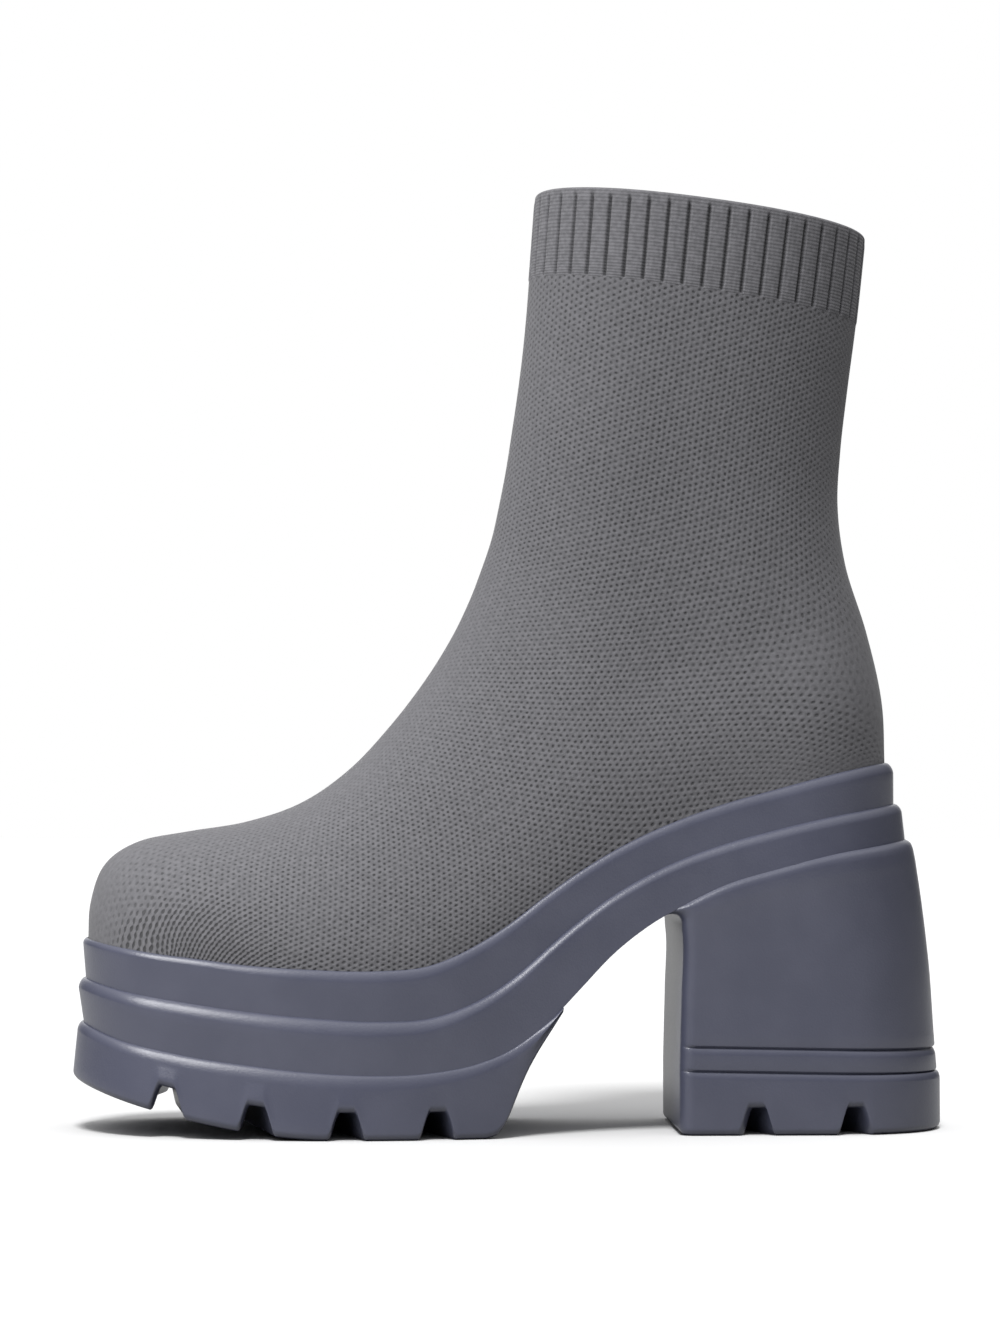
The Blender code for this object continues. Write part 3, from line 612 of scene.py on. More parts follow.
def add_face(bm, corners):
    """Add a face, leaving out corners that are named twice."""
    bm.faces.new(list(dict.fromkeys(corners)))


def add_band(bm, low, high):
    """Join two closed rings that have the same number of points."""
    count = len(low)
    for i in range(count):
        j = (i + 1) % count
        bm.faces.new((low[i], low[j], high[j], high[i]))


def add_ladder(bm, ring):
    """Close a ring with strips that cross from its outer to its inner side."""
    count = len(ring)
    for i in range(count // 2):
        add_face(bm, (ring[i], ring[i + 1], ring[count - i - 1], ring[-i % count]))


def count_faces(piece):
    """Say how many triangles a piece has."""
    piece.data.calc_loop_triangles()
    print(piece.name, len(piece.data.loop_triangles), "triangles")


print("edges stay crisp above", round(math.degrees(CRISP_ANGLE)), "degrees")

# %% [markdown]
# ## Shared effects
# Each effect is a shader node group, so that a material only places it and sets its values. Eyelets
# are the small holes between the loops of an open knit. They lie on a staggered grid, like the cells
# of a honeycomb, so the sum of three cosine waves in three directions peaks at each hole. Where the
# knit is stretched, the wave across the columns gets more weight, and the holes run together into
# lines between ridges. A little noise bends the grid, because no two loops are alike.

# %% Eyelet group
FLOAT = "NodeSocketFloat"
VECTOR = "NodeSocketVector"
WALE_PITCH = 1.7
COURSE_PITCH = 1.96
BEND_BLOBS = 340.0
PATCH_BLOBS = 110.0
LOOP_BLOBS = 480.0
PATCH_RANGE = (0.30, 0.62)
PATCH_LEAST = 0.7
LOOP_RANGE = (0.25, 0.65)
LOOP_LEAST = 0.65
CROSSING_LOSS = 0.4
SWELL_RANGE = (-1.5, 2.5)
SWELL_DEPTH = 0.75
SWELL_HEIGHT = 0.8

# Where a hole starts and where it is full on the summed waves: on slack knit, then on stretched knit
HOLE_START = (0.7, -0.4)
HOLE_FULL = (2.9, 1.9)

eyelet_group, start, end = new_group("eyelet_knit", "ShaderNodeTree", [
    ("Stitch", VECTOR, None),
    ("Place", VECTOR, None),
    ("Wale Pitch", FLOAT, WALE_PITCH),
    ("Course Pitch", FLOAT, COURSE_PITCH),
    ("Wobble", FLOAT, 0.5),
    ("Stretch", FLOAT, 0.0),
    ("Openness", FLOAT, 1.0),
], [("Eyelet", FLOAT), ("Swell", FLOAT), ("Height", FLOAT)])
tree = eyelet_group
bend = noise(tree, start.outputs["Place"], BEND_BLOBS, 1.0)
centred = add_node(tree, "ShaderNodeVectorMath", {
    0: bend.outputs["Color"], 1: (0.5, 0.5, 0.5)}, operation="SUBTRACT")
bent = add_node(tree, "ShaderNodeVectorMath", {
    0: centred.outputs[0], "Scale": start.outputs["Wobble"]}, operation="SCALE")
stitch = add_node(tree, "ShaderNodeVectorMath", {
    0: start.outputs["Stitch"], 1: bent.outputs[0]}, operation="ADD")
across_along = add_node(tree, "ShaderNodeSeparateXYZ", {0: stitch.outputs[0]})
wale = calculate(tree, "DIVIDE", across_along.outputs[0], start.outputs["Wale Pitch"])
course = calculate(tree, "DIVIDE", across_along.outputs[1], start.outputs["Course Pitch"])
half_wale = calculate(tree, "ABSOLUTE", calculate(tree, "MULTIPLY", wale, math.pi))
whole_course = calculate(tree, "MULTIPLY", course, 2 * math.pi)
columns_wave = calculate(tree, "COSINE", calculate(tree, "MULTIPLY", half_wale, 2.0))
left_wave = calculate(tree, "COSINE", calculate(tree, "ADD", half_wale, whole_course))
right_wave = calculate(tree, "COSINE", calculate(tree, "SUBTRACT", half_wale, whole_course))
slant_waves = calculate(tree, "ADD", left_wave, right_wave)
grid_wave = calculate(tree, "ADD", columns_wave, slant_waves)
crossing = calculate(tree, "MULTIPLY", slant_waves, CROSSING_LOSS)
drawn = calculate(tree, "SUBTRACT", columns_wave, crossing)
grid_wave = calculate(tree, "MULTIPLY_ADD", drawn, start.outputs["Stretch"], grid_wave)
hole_start = remap(tree, start.outputs["Stretch"], 0.0, 1.0, *HOLE_START)
hole_full = remap(tree, start.outputs["Stretch"], 0.0, 1.0, *HOLE_FULL)
hole = remap(tree, grid_wave, hole_start, hole_full)
patch = noise(tree, start.outputs["Place"], PATCH_BLOBS, 2.0).outputs[0]
patch = remap(tree, patch, *PATCH_RANGE, PATCH_LEAST, 1.0)
single = noise(tree, start.outputs["Place"], LOOP_BLOBS, 0.0).outputs[0]
single = remap(tree, single, *LOOP_RANGE, LOOP_LEAST, 1.0)
mottle = calculate(tree, "MULTIPLY", patch, single)
open_share = calculate(tree, "MULTIPLY", mottle, start.outputs["Openness"])
open_share = calculate(tree, "MAXIMUM", open_share, start.outputs["Stretch"])
eyelet = calculate(tree, "MULTIPLY", hole, open_share)
# Swell is the knit's relief, low round the holes; the material also paints shade on the yarn with it
swell = remap(tree, grid_wave, *SWELL_RANGE, 0.5, -0.5)
depth = calculate(tree, "MAXIMUM", start.outputs["Openness"], start.outputs["Stretch"])
swell = calculate(tree, "MULTIPLY_ADD", swell, calculate(tree, "MULTIPLY", depth, SWELL_DEPTH), 0.5)
height = calculate(tree, "SUBTRACT", calculate(tree, "MULTIPLY", swell, SWELL_HEIGHT), eyelet)
tree.links.new(swell, end.inputs["Swell"])
tree.links.new(eyelet, end.inputs["Eyelet"])
tree.links.new(height, end.inputs["Height"])
print(eyelet_group.name, "group of", len(eyelet_group.nodes), "nodes")

# %% [markdown]
# Fibres are fine noise at the size of yarn, with a coarser noise for its mottled dye. Rubber has a
# faint mould grain and slow changes of tone. Pictures could hold both, but noise has no seams.

# %% Yarn and rubber groups
FIBRE_BLOBS = 2600.0
MELANGE_BLOBS = 700.0
GRAIN_BLOBS = 1500.0
TONE_BLOBS = 60.0

fibre_group, start, end = new_group("yarn_fibres", "ShaderNodeTree", [
    ("Place", VECTOR, None),
], [("Fibre", FLOAT), ("Melange", FLOAT)])
tree = fibre_group
fibre = noise(tree, start.outputs["Place"], FIBRE_BLOBS, 3.0)
melange = noise(tree, start.outputs["Place"], MELANGE_BLOBS, 3.0)
tree.links.new(fibre.outputs[0], end.inputs["Fibre"])
tree.links.new(melange.outputs[0], end.inputs["Melange"])

rubber_group, start, end = new_group("moulded_rubber", "ShaderNodeTree", [
    ("Place", VECTOR, None),
], [("Grain", FLOAT), ("Tone", FLOAT)])
tree = rubber_group
grain = noise(tree, start.outputs["Place"], GRAIN_BLOBS, 3.0)
tone = noise(tree, start.outputs["Place"], TONE_BLOBS, 3.0)
tree.links.new(grain.outputs[0], end.inputs["Grain"])
tree.links.new(tone.outputs[0], end.inputs["Tone"])
print("groups:", fibre_group.name, rubber_group.name)

# %% [markdown]
# ## The materials
# The knit is a mottled grey yarn. Its eyelets are darker, because the dark lining shows through and
# painted shade darkens them further, and they sink in. The yarn is also painted darker round the eyelets
# and lighter on the ridges between them, as shade on its relief. The `knit` map on the mesh says where
# each loop lies, in millimetres across and along the knitted columns, so the pattern follows the foot. A
# soft sheen stands for the loose fibres. The ribbed cuff is the same yarn in a plain stitch, and the
# lining its back side.

# %% Eyelet knit
YARN_DARK = (0.111, 0.110, 0.118, 1.0)
YARN_LIGHT = (0.150, 0.148, 0.159, 1.0)
# Eyelet dark: the lining seen through the holes plus painted shade in them; painted shade in rib grooves
LINING_AND_SHADE_DARK = (0.050, 0.050, 0.053, 1.0)
MOTTLE = (0.3, 0.7)
YARN_ROUGH = 0.9
YARN_GLOSS = 0.25
SHEEN = 0.12
SHEEN_ROUGH = 0.5
GRID_WOBBLE = 0.9
EYELET_FUZZ = 0.35
EYELET_BUMP = 0.0002


def new_material(name, roughness, specular, sheen=0.0):
    """A material with one Principled shader, its tree, and coordinates fixed to the piece."""
    material = bpy.data.materials.new(name)
    material.use_nodes = True
    tree = material.node_tree
    shader = tree.nodes["Principled BSDF"]
    shader.inputs["Roughness"].default_value = roughness
    shader.inputs["Specular IOR Level"].default_value = specular
    shader.inputs["Sheen Weight"].default_value = sheen
    shader.inputs["Sheen Roughness"].default_value = SHEEN_ROUGH
    place = add_node(tree, "ShaderNodeTexCoord").outputs["Object"]
    return material, tree, shader, place


def mottled(tree, value, dark, light):
    """A colour that wanders between two tones with a noise value."""
    return mix_colour(tree, remap(tree, value, *MOTTLE), dark, light)


def set_bump(tree, shader, height, distance):
    """Press a height pattern into the shading, this many metres deep."""
    bump = add_node(tree, "ShaderNodeBump", {"Height": height, "Distance": distance, "Strength": 1.0})
    tree.links.new(bump.outputs[0], shader.inputs["Normal"])


knit, tree, shader, place = new_material("eyelet_knit", YARN_ROUGH, YARN_GLOSS, SHEEN)
stitch = add_node(tree, "ShaderNodeUVMap", uv_map="knit").outputs[0]
stretch = add_node(tree, "ShaderNodeAttribute", attribute_name="stretch").outputs["Fac"]
openness = add_node(tree, "ShaderNodeAttribute", attribute_name="openness").outputs["Fac"]
pattern = use_group(tree, eyelet_group, {
    "Stitch": stitch, "Place": place, "Wale Pitch": WALE_PITCH, "Course Pitch": COURSE_PITCH,
    "Wobble": GRID_WOBBLE, "Stretch": stretch, "Openness": openness})
yarn = use_group(tree, fibre_group, {"Place": place})
yarn_dye_and_shade = remap(tree, yarn.outputs["Melange"], *MOTTLE)
# Painted shade on the relief: the yarn is darker round the eyelets and lighter on the ridges
yarn_dye_and_shade = calculate(tree, "MULTIPLY", yarn_dye_and_shade, pattern.outputs["Swell"])
colour = mix_colour(tree, yarn_dye_and_shade, YARN_DARK, YARN_LIGHT)
# The eyelets take the dark: partly the lining seen through, partly painted shade inside the holes
colour = mix_colour(tree, pattern.outputs["Eyelet"], colour, LINING_AND_SHADE_DARK)
tree.links.new(colour, shader.inputs["Base Color"])
fuzz = calculate(tree, "MULTIPLY_ADD", yarn.outputs["Fibre"], EYELET_FUZZ, pattern.outputs["Height"])
set_bump(tree, shader, fuzz, EYELET_BUMP)
print("material", knit.name)

# %% [markdown]
# The rib knit and the lining are plain loops, so two sine waves in the bump are enough: one for the
# rows, and a weaker one for the loops in a row. The sunken lines of the ribs are darker, because less
# light gets in, and the mesh says where they are.

# %% Rib knit and lining
RIB_ROW_PITCH = 1.05
RIB_LOOP_PITCH = 1.55
RIB_LOOP_SHARE = 0.4
RIB_SHADE = 0.9
RIB_FUZZ = 1.5
RIB_BUMP = 0.00004
LINING_ROW_PITCH = 1.1
LINING_ROUGH = 0.92
LINING_GLOSS = 0.2
LINING_FUZZ = 1.2
LINING_BUMP = 0.00012
LINING_DARK = (0.06, 0.06, 0.064, 1.0)
LINING_LIGHT = (0.10, 0.10, 0.105, 1.0)


def wave(tree, value, pitch):
    """A sine wave that repeats after every pitch."""
    return calculate(tree, "SINE", calculate(tree, "MULTIPLY", value, 2 * math.pi / pitch))


rib_knit, tree, shader, place = new_material("rib_knit", YARN_ROUGH, YARN_GLOSS, SHEEN)
stitch = add_node(tree, "ShaderNodeUVMap", uv_map="rib").outputs[0]
rib_place = add_node(tree, "ShaderNodeSeparateXYZ", {0: stitch})
groove = add_node(tree, "ShaderNodeAttribute", attribute_name="groove").outputs["Fac"]
yarn = use_group(tree, fibre_group, {"Place": place})
rows_wave = wave(tree, rib_place.outputs[1], RIB_ROW_PITCH)
loops_wave = wave(tree, rib_place.outputs[0], RIB_LOOP_PITCH)
loops = calculate(tree, "MULTIPLY_ADD", loops_wave, RIB_LOOP_SHARE, rows_wave)
colour = mottled(tree, yarn.outputs["Melange"], YARN_DARK, YARN_LIGHT)
colour = mix_colour(tree, calculate(tree, "MULTIPLY", groove, RIB_SHADE), colour, LINING_AND_SHADE_DARK)
tree.links.new(colour, shader.inputs["Base Color"])
fuzz = calculate(tree, "MULTIPLY_ADD", yarn.outputs["Fibre"], RIB_FUZZ, loops)
set_bump(tree, shader, fuzz, RIB_BUMP)

lining, tree, shader, place = new_material("knit_lining", LINING_ROUGH, LINING_GLOSS)
stitch = add_node(tree, "ShaderNodeUVMap", uv_map="knit").outputs[0]
lining_place = add_node(tree, "ShaderNodeSeparateXYZ", {0: stitch})
yarn = use_group(tree, fibre_group, {"Place": place})
rows_wave = wave(tree, lining_place.outputs[1], LINING_ROW_PITCH)
colour = mottled(tree, yarn.outputs["Melange"], LINING_DARK, LINING_LIGHT)
tree.links.new(colour, shader.inputs["Base Color"])
fuzz = calculate(tree, "MULTIPLY_ADD", yarn.outputs["Fibre"], LINING_FUZZ, rows_wave)
set_bump(tree, shader, fuzz, LINING_BUMP)
print("materials", rib_knit.name, lining.name)

# %% [markdown]
# The sole is moulded from a blue-grey rubber with a satin skin, so its gloss comes from a middling
# roughness that a fine grain breaks up. The footbed is a short-napped cloth over a board.

# %% Rubber and footbed materials
RUBBER_DARK = (0.059, 0.063, 0.095, 1.0)
RUBBER_LIGHT = (0.068, 0.072, 0.106, 1.0)
RUBBER_ROUGH = (0.28, 0.34)
RUBBER_GLOSS = 0.9
RUBBER_BUMP = 0.00006
GRAIN_RANGE = (0.2, 0.8)
FOOTBED_DARK = (0.085, 0.085, 0.09, 1.0)
FOOTBED_LIGHT = (0.135, 0.135, 0.14, 1.0)
FOOTBED_ROUGH = 0.95
FOOTBED_GLOSS = 0.2
FOOTBED_BUMP = 0.0002

rubber, tree, shader, place = new_material("sole_rubber", RUBBER_ROUGH[0], RUBBER_GLOSS)
skin = use_group(tree, rubber_group, {"Place": place})
colour = mottled(tree, skin.outputs["Tone"], RUBBER_DARK, RUBBER_LIGHT)
tree.links.new(colour, shader.inputs["Base Color"])
roughness = remap(tree, skin.outputs["Grain"], *GRAIN_RANGE, *RUBBER_ROUGH)
tree.links.new(roughness, shader.inputs["Roughness"])
set_bump(tree, shader, skin.outputs["Grain"], RUBBER_BUMP)

footbed_cloth, tree, shader, place = new_material("footbed_cloth", FOOTBED_ROUGH, FOOTBED_GLOSS)
yarn = use_group(tree, fibre_group, {"Place": place})
colour = mottled(tree, yarn.outputs["Melange"], FOOTBED_DARK, FOOTBED_LIGHT)
tree.links.new(colour, shader.inputs["Base Color"])
set_bump(tree, shader, yarn.outputs["Fibre"], FOOTBED_BUMP)
print("sole materials:", rubber.name, footbed_cloth.name)

# %% [markdown]
# ## The knitted body
# A circular knitting machine makes the upper as one tube, so its columns of loops start at the toe,
# sweep back over the foot and run up the shaft. The skin is a grid in the same sense: rows from the
# toe to the cuff, and points from the rim over the crest. The `knit` map on it could hold distances
# along the grid, but then the loops would swell and shrink with the rows. So it is the smoothest map
# over the skin instead, evened to one size of loop, as a knit evens out by itself. On the shaft the
# columns close into a ring, so a whole number of them has to fit round it. Near the toe the loops are
# stretched over the last: wider apart, with bold lines between them along the rim.

# %% Smoothest values over a mesh
SETTLE_TURNS = 1500
SETTLED = 1e-9


def grid_triangles(shape):
    """Corner numbers of two triangles for every cell of a grid of points."""
    ids = np.arange(shape[0] * shape[1]).reshape(shape)
    a = ids[:-1, :-1].ravel()
    b = ids[1:, :-1].ravel()
    c = ids[1:, 1:].ravel()
    d = ids[:-1, 1:].ravel()
    return np.concatenate([np.stack([a, b, c], axis=1), np.stack([a, c, d], axis=1)])


def slopes(points, triangles):
    """For every triangle: how a value at each corner tilts over it, its upright and its area."""
    corners = points[triangles]
    facing = np.cross(corners[:, 1] - corners[:, 0], corners[:, 2] - corners[:, 0])
    double = np.maximum(np.linalg.norm(facing, axis=1), 1e-9)
    upright = facing / double[:, None]
    opposite = np.roll(corners, -2, axis=1) - np.roll(corners, -1, axis=1)
    tilt = np.cross(upright[:, None, :], opposite) / double[:, None, None]
    return tilt, upright, double / 2


def gather(triangles, shares, count):
    """Add up at every point what each corner of its triangles gives it."""
    return np.bincount(triangles.ravel(), np.ravel(shares), count)


def settle(triangles, tilt, area, fixed, values, pull):
    """The smoothest values over a mesh that keep the fixed ones and follow a given pull."""
    count = len(values)
    stiff = np.einsum("tia,tja->tij", tilt, tilt) * area[:, None, None]
    rows = np.repeat(triangles, 3, axis=1).ravel()
    cols = np.tile(triangles, (1, 3)).ravel()
    stiff = stiff.ravel()

    def press(x):
        return np.bincount(rows, stiff * x[cols], count)

    scale = np.maximum(np.bincount(rows, stiff * (rows == cols), count), 1e-12)
    free = ~fixed
    found = values.copy()
    rest = (pull - press(found)) * free
    step = rest / scale
    way = step.copy()
    power = rest @ step
    for _ in range(SETTLE_TURNS):
        pressed = press(way) * free
        move = power / (way @ pressed)
        found += move * way
        rest -= move * pressed
        step = rest / scale
        power, old = rest @ step, power
        if power < SETTLED:
            break
        way = step + way * (power / old)
    return found


print("a map settles in at most", SETTLE_TURNS, "turns")

# %% [markdown]
# The first pass finds in which way the columns run. The second evens their distance, and a third finds
# the rows, square to the columns. The skin also carries two values for the shader: `stretch`, where
# the holes run into lines, and `openness`, which closes them at the toe tip, along the shin and down
# the back, where the knit is denser.

# %% Map of the knit
HALF_WALES = 82
TOE_LOOPS = 0.72
FOOT_LOOPS = 1.2
LEAN_LEAST = 0.2
STRETCH_RANGE = (22.0, 62.0)
STRETCH_HEIGHT = (19.0, 37.0)
TIP_RANGE = (4.0, 15.0)
TIP_OPEN = 0.3
WIDE_RANGE = (0.6, 0.95)
WIDE_OPEN = 0.5

# Where the knit closes, as shares of the way from the rim or the back to the crest, and by how much
CREST_RANGE = (0.45, 0.95)
CREST_SHUT = 0.75
BACK_RANGE = (0.02, 0.28)
SHIN_RANGE = (0.75, 1.0)
SHIN_SHUT = 0.45


def stitch_map(grid, numbers, heel):
    """Millimetres across and along the wales at every point of the skin, its stretch and openness."""
    shape = grid.shape[:2]
    points = grid.reshape(-1, 3)
    triangles = grid_triangles(shape)
    tilt, upright, area = slopes(points, triangles)
    arc = np.zeros(shape)
    arc[:, 1:] = np.cumsum(np.linalg.norm(np.diff(grid, axis=1), axis=2), axis=1)
    crest = shape[1] // 2
    arc -= arc[:, crest:crest + 1]
    closed = smooth(*CLOSING_ROWS, numbers)[:, None]
    down = np.zeros(shape)
    down[1:] = np.cumsum(np.linalg.norm(np.diff(grid, axis=0), axis=2), axis=0)
    fade = smooth(0, STRETCH_RANGE[1], down[:, crest:crest + 1])
    widened = TOE_LOOPS + (1 - TOE_LOOPS) * fade
    half = np.where(np.arange(shape[1]) < crest, -arc[:, :1], arc[:, -1:])
    guess = arc * widened * (1 + closed * (HALF_WALES * WALE_PITCH / half - 1))
    fixed = np.zeros(shape, bool)
    fixed[0] = True
    fixed[:, [0, crest, -1]] = True
    none = np.zeros(len(points))
    across = settle(triangles, tilt, area, fixed.ravel(), guess.ravel(), none)
    lean = np.einsum("ti,tia->ta", across[triangles], tilt)
    loops = np.broadcast_to(TOE_LOOPS + (FOOT_LOOPS - TOE_LOOPS) * fade, shape)
    loops = loops.ravel()[triangles].mean(axis=1)
    even = lean * (loops / np.maximum(np.linalg.norm(lean, axis=1), LEAN_LEAST))[:, None]
    pull = gather(triangles, np.einsum("ta,tia->ti", even, tilt) * area[:, None], len(points))
    fixed[1:heel, [0, -1]] = False
    across = settle(triangles, tilt, area, fixed.ravel(), guess.ravel(), pull)

    seam = np.arange(len(points)).reshape(shape)
    seam[heel:, -1] = seam[heel:, 0]
    joined = seam.ravel()[triangles]
    lean = np.einsum("ti,tia->ta", across[triangles], tilt)
    turned = np.cross(upright, lean)
    pull = gather(joined, np.einsum("ta,tia->ti", turned, tilt) * area[:, None], len(points))
    pinned = np.ones(len(points), bool)
    pinned[np.unique(joined)] = False
    pinned[crest] = True
    forward = settle(joined, tilt, area, pinned, none, pull)[seam.ravel()]
    share = 1 - np.abs(np.arange(shape[1]) - crest) / crest
    from_tip = grid[:, :, 0] - grid[:, :, 0].min()
    from_rim = half - np.abs(arc)
    stretch = (1 - smooth(*STRETCH_RANGE, down)) * (1 - smooth(*STRETCH_HEIGHT, from_rim))
    stretch *= smooth(*TIP_RANGE, from_tip)
    foot = 1 - CREST_SHUT * smooth(*CREST_RANGE, share)
    shaft = smooth(*BACK_RANGE, share) * (1 - SHIN_SHUT * smooth(*SHIN_RANGE, share))
    openness = foot + closed * (shaft - foot)
    sizes = np.linalg.norm(lean, axis=1)
    weight = gather(joined, np.repeat(area, 3), len(points))
    dense = gather(joined, np.repeat(area * sizes, 3), len(points)) / np.maximum(weight, 1e-9)
    dense = dense[seam.ravel()].reshape(shape)
    openness *= WIDE_OPEN + (1 - WIDE_OPEN) * smooth(*WIDE_RANGE, dense)
    openness *= TIP_OPEN + (1 - TIP_OPEN) * smooth(*TIP_RANGE, from_tip)
    print("wale pitch from", *np.round(WALE_PITCH / np.percentile(sizes, (98, 50, 2)), 2), "mm")
    return np.stack([across.reshape(shape), forward.reshape(shape)], axis=2), stretch, openness


print(2 * HALF_WALES, "columns of loops round the shaft")

# %% [markdown]
# The body itself is two skins, the knit and its lining one wall inside it. They join at the cuff, and
# at the rim a short skirt goes down into the cup of the sole. A Solidify modifier could make the
# lining, but here it also needs the knit map, and its foot has to end on the floor of the cup.

# %% Skins of the upper
FIT_GAP = 0.3


def add_skin(bm, grid, heel):
    """The points of a skin, whose rows close into rings from the heel row on."""
    rows = []
    for number, points in enumerate(grid):
        ring = add_points(bm, points if number < heel else points[:-1])
        rows.append(ring if number < heel else ring + ring[:1])
    return rows


def add_skin_faces(bm, rows, stitches, material):
    """Faces between the neighbouring rows of a skin, with their knit map."""
    layer = bm.loops.layers.uv["knit"]
    for r in range(len(rows) - 1):
        for i in range(len(rows[r]) - 1):
            places = ((r, i), (r + 1, i), (r + 1, i + 1), (r, i + 1))
            face = bm.faces.new([rows[a][b] for a, b in places])
            face.material_index = material
            for loop, (a, b) in zip(face.loops, places):
                loop[layer].uv = stitches[a, b]


def rim_edge(rows, heel):
    """The open edge of a skin at the rim, from the back of the heel round by the outer side."""
    outer = [row[0] for row in rows[heel::-1]]
    inner = [row[-1] for row in rows[:heel]]
    return outer + list(rows[0][1:-1]) + inner


def add_skirt(bm, grid, rows, heel):
    """A short upright wall from the rim edge of a skin down to the floor of the cup."""
    foot = np.array(rim_edge(grid, heel))
    foot[:, 2] = seat_z(foot[:, 0]) + FIT_GAP
    ring = add_points(bm, foot)
    add_band(bm, ring, rim_edge(rows, heel))
    return ring


def skin_normals(grid, heel):
    """Outward directions at the points of a skin."""
    bm = bmesh.new()
    rows = add_skin(bm, grid, heel)
    for low, high in zip(rows, rows[1:]):
        for i in range(len(low) - 1):
            bm.faces.new((low[i], high[i], high[i + 1], low[i + 1]))
    bm.normal_update()
    normals = np.array([[vert.normal for vert in row] for row in rows])
    bm.free()
    return normals


print("upper stands", FIT_GAP, "mm above the floor of the cup")

# %% Knitted body
WALL = 2.2
FOOT_ROWS = 112
SHAFT_ROWS = 64
SIDE_CUTS = 80


def build_knit_body():
    """The knitted foot and shaft up to the cuff: an outer skin and a lining one wall inside it."""
    foot = np.linspace(0, HEEL_ROW, FOOT_ROWS)
    numbers = np.concatenate([foot, np.linspace(HEEL_ROW, CUFF_ROW, SHAFT_ROWS)[1:]])
    heel = FOOT_ROWS - 1
    grid = np.array([section_line(number, SIDE_CUTS) for number in numbers])
    stitches, stretch, openness = stitch_map(grid, numbers, heel)
    inner_grid = grid - WALL * skin_normals(grid, heel)
    bm = bmesh.new()
    layers = [bm.verts.layers.float.new(name) for name in ("stretch", "openness")]
    bm.loops.layers.uv.new("knit")
    outer = add_skin(bm, grid, heel)
    inner = add_skin(bm, inner_grid, heel)
    for layer, values in zip(layers, (stretch, openness)):
        for row, row_values in zip(outer, values):
            for vert, value in zip(row, row_values):
                vert[layer] = value
    add_skin_faces(bm, outer, stitches, 0)
    add_skin_faces(bm, inner, stitches, 1)
    outer_foot = add_skirt(bm, grid, outer, heel)
    inner_foot = add_skirt(bm, inner_grid, inner, heel)
    add_band(bm, outer_foot, inner_foot)
    add_band(bm, outer[-1][:-1], inner[-1][:-1])
    return new_object("knit_body", bm, knit, lining)


knit_body = build_knit_body()
count_faces(knit_body)

# %% [markdown]
# ## The ribbed cuff
# The cuff is knitted in ribs: flat bands of plain loops with narrow sunken lines between them, which
# let it stretch over the heel. It starts as a smooth band with a rolled top edge. Geometry Nodes
# then sink a groove between every two ribs, so the count, depth and width stay easy to change.

# %% Cuff band
CUFF_HEIGHT = 27.2
CUFF_RIBS = 46
RIB_CUTS = 16
CUFF_ROWS = 34
ROLL_CUTS = 11
RING_CUTS = 240
INSIDE_STEP = 3
BELOW_COLLAR = 0.2
GROOVE_FOOT = (0.0, 0.8)
GROOVE_TOP = (23.6, 26.0)


def way_shares(line):
    """How far along a line of points each point lies, from 0 to 1."""
    steps = np.linalg.norm(np.diff(line, axis=0), axis=1)
    return np.concatenate([[0], np.cumsum(steps)]) / np.sum(steps)


def even_ring(row, count):
    """Points at even distances round a ring of the shaft."""
    line = section_line(row, RING_CUTS)
    at = way_shares(line)
    shares = np.arange(count) / count
    return np.stack([np.interp(shares, at, line[:, axis]) for axis in range(3)], axis=1)


def ring_outward(ring, up):
    """Directions straight out of a ring's wall."""
    way = np.roll(ring, -1, axis=0) - np.roll(ring, 1, axis=0)
    outward = np.cross(up, way)
    outward /= np.linalg.norm(outward, axis=1)[:, None]
    from_middle = ring - ring.mean(axis=0)
    return outward * np.sign(np.sum(outward * from_middle, axis=1))[:, None]


def build_cuff_band():
    """A smooth band from the cuff's foot up its outside, over a rolled edge and down inside."""
    count = CUFF_RIBS * RIB_CUTS
    top = even_ring(COLLAR_ROW, count)
    up = top - even_ring(COLLAR_ROW - BELOW_COLLAR, count)
    up /= np.linalg.norm(up, axis=1)[:, None]
    outward = ring_outward(top, up)
    roll = WALL / 2
    rises = np.linspace(0, CUFF_HEIGHT - roll, CUFF_ROWS)
    rings = [even_ring(CUFF_ROW + rise / CUFF_HEIGHT, count) for rise in rises]
    weights = list(smooth(*GROOVE_FOOT, rises) * (1 - smooth(*GROOVE_TOP, rises)))
    heights = list(rises)
    for turn in np.linspace(0, math.pi, ROLL_CUTS)[1:]:
        rings.append(top - outward * roll * (1 - math.cos(turn)) + up * roll * (math.sin(turn) - 1))
        weights.append(0.0)
        heights.append(CUFF_HEIGHT + roll * turn)
    for rise in rises[-1 - INSIDE_STEP::-INSIDE_STEP]:
        rings.append(even_ring(CUFF_ROW + rise / CUFF_HEIGHT, count) - WALL * outward)
        weights.append(0.0)
        heights.append(2 * CUFF_HEIGHT - rise)
    bm = bmesh.new()
    layer = bm.loops.layers.uv.new("rib")
    around = bm.verts.layers.float.new("around")
    ribbing = bm.verts.layers.float.new("ribbing")
    verts = [add_points(bm, ring) for ring in rings]
    length = np.sum(np.linalg.norm(np.roll(top, -1, axis=0) - top, axis=1))
    for ring, weight in zip(verts, weights):
        for i, vert in enumerate(ring):
            vert[around] = i / count
            vert[ribbing] = weight
    order = list(range(len(verts))) + [0]
    for a, b in zip(order, order[1:]):
        for i in range(count):
            j = (i + 1) % count
            face = bm.faces.new((verts[a][i], verts[a][j], verts[b][j], verts[b][i]))
            spots = ((i, a), (i + 1, a), (i + 1, b), (i, b))
            for loop, (column, row) in zip(face.loops, spots):
                loop[layer].uv = (column / count * length, heights[row])
    return new_object("ribbed_cuff", bm)


ribbed_cuff = build_cuff_band()
count_faces(ribbed_cuff)

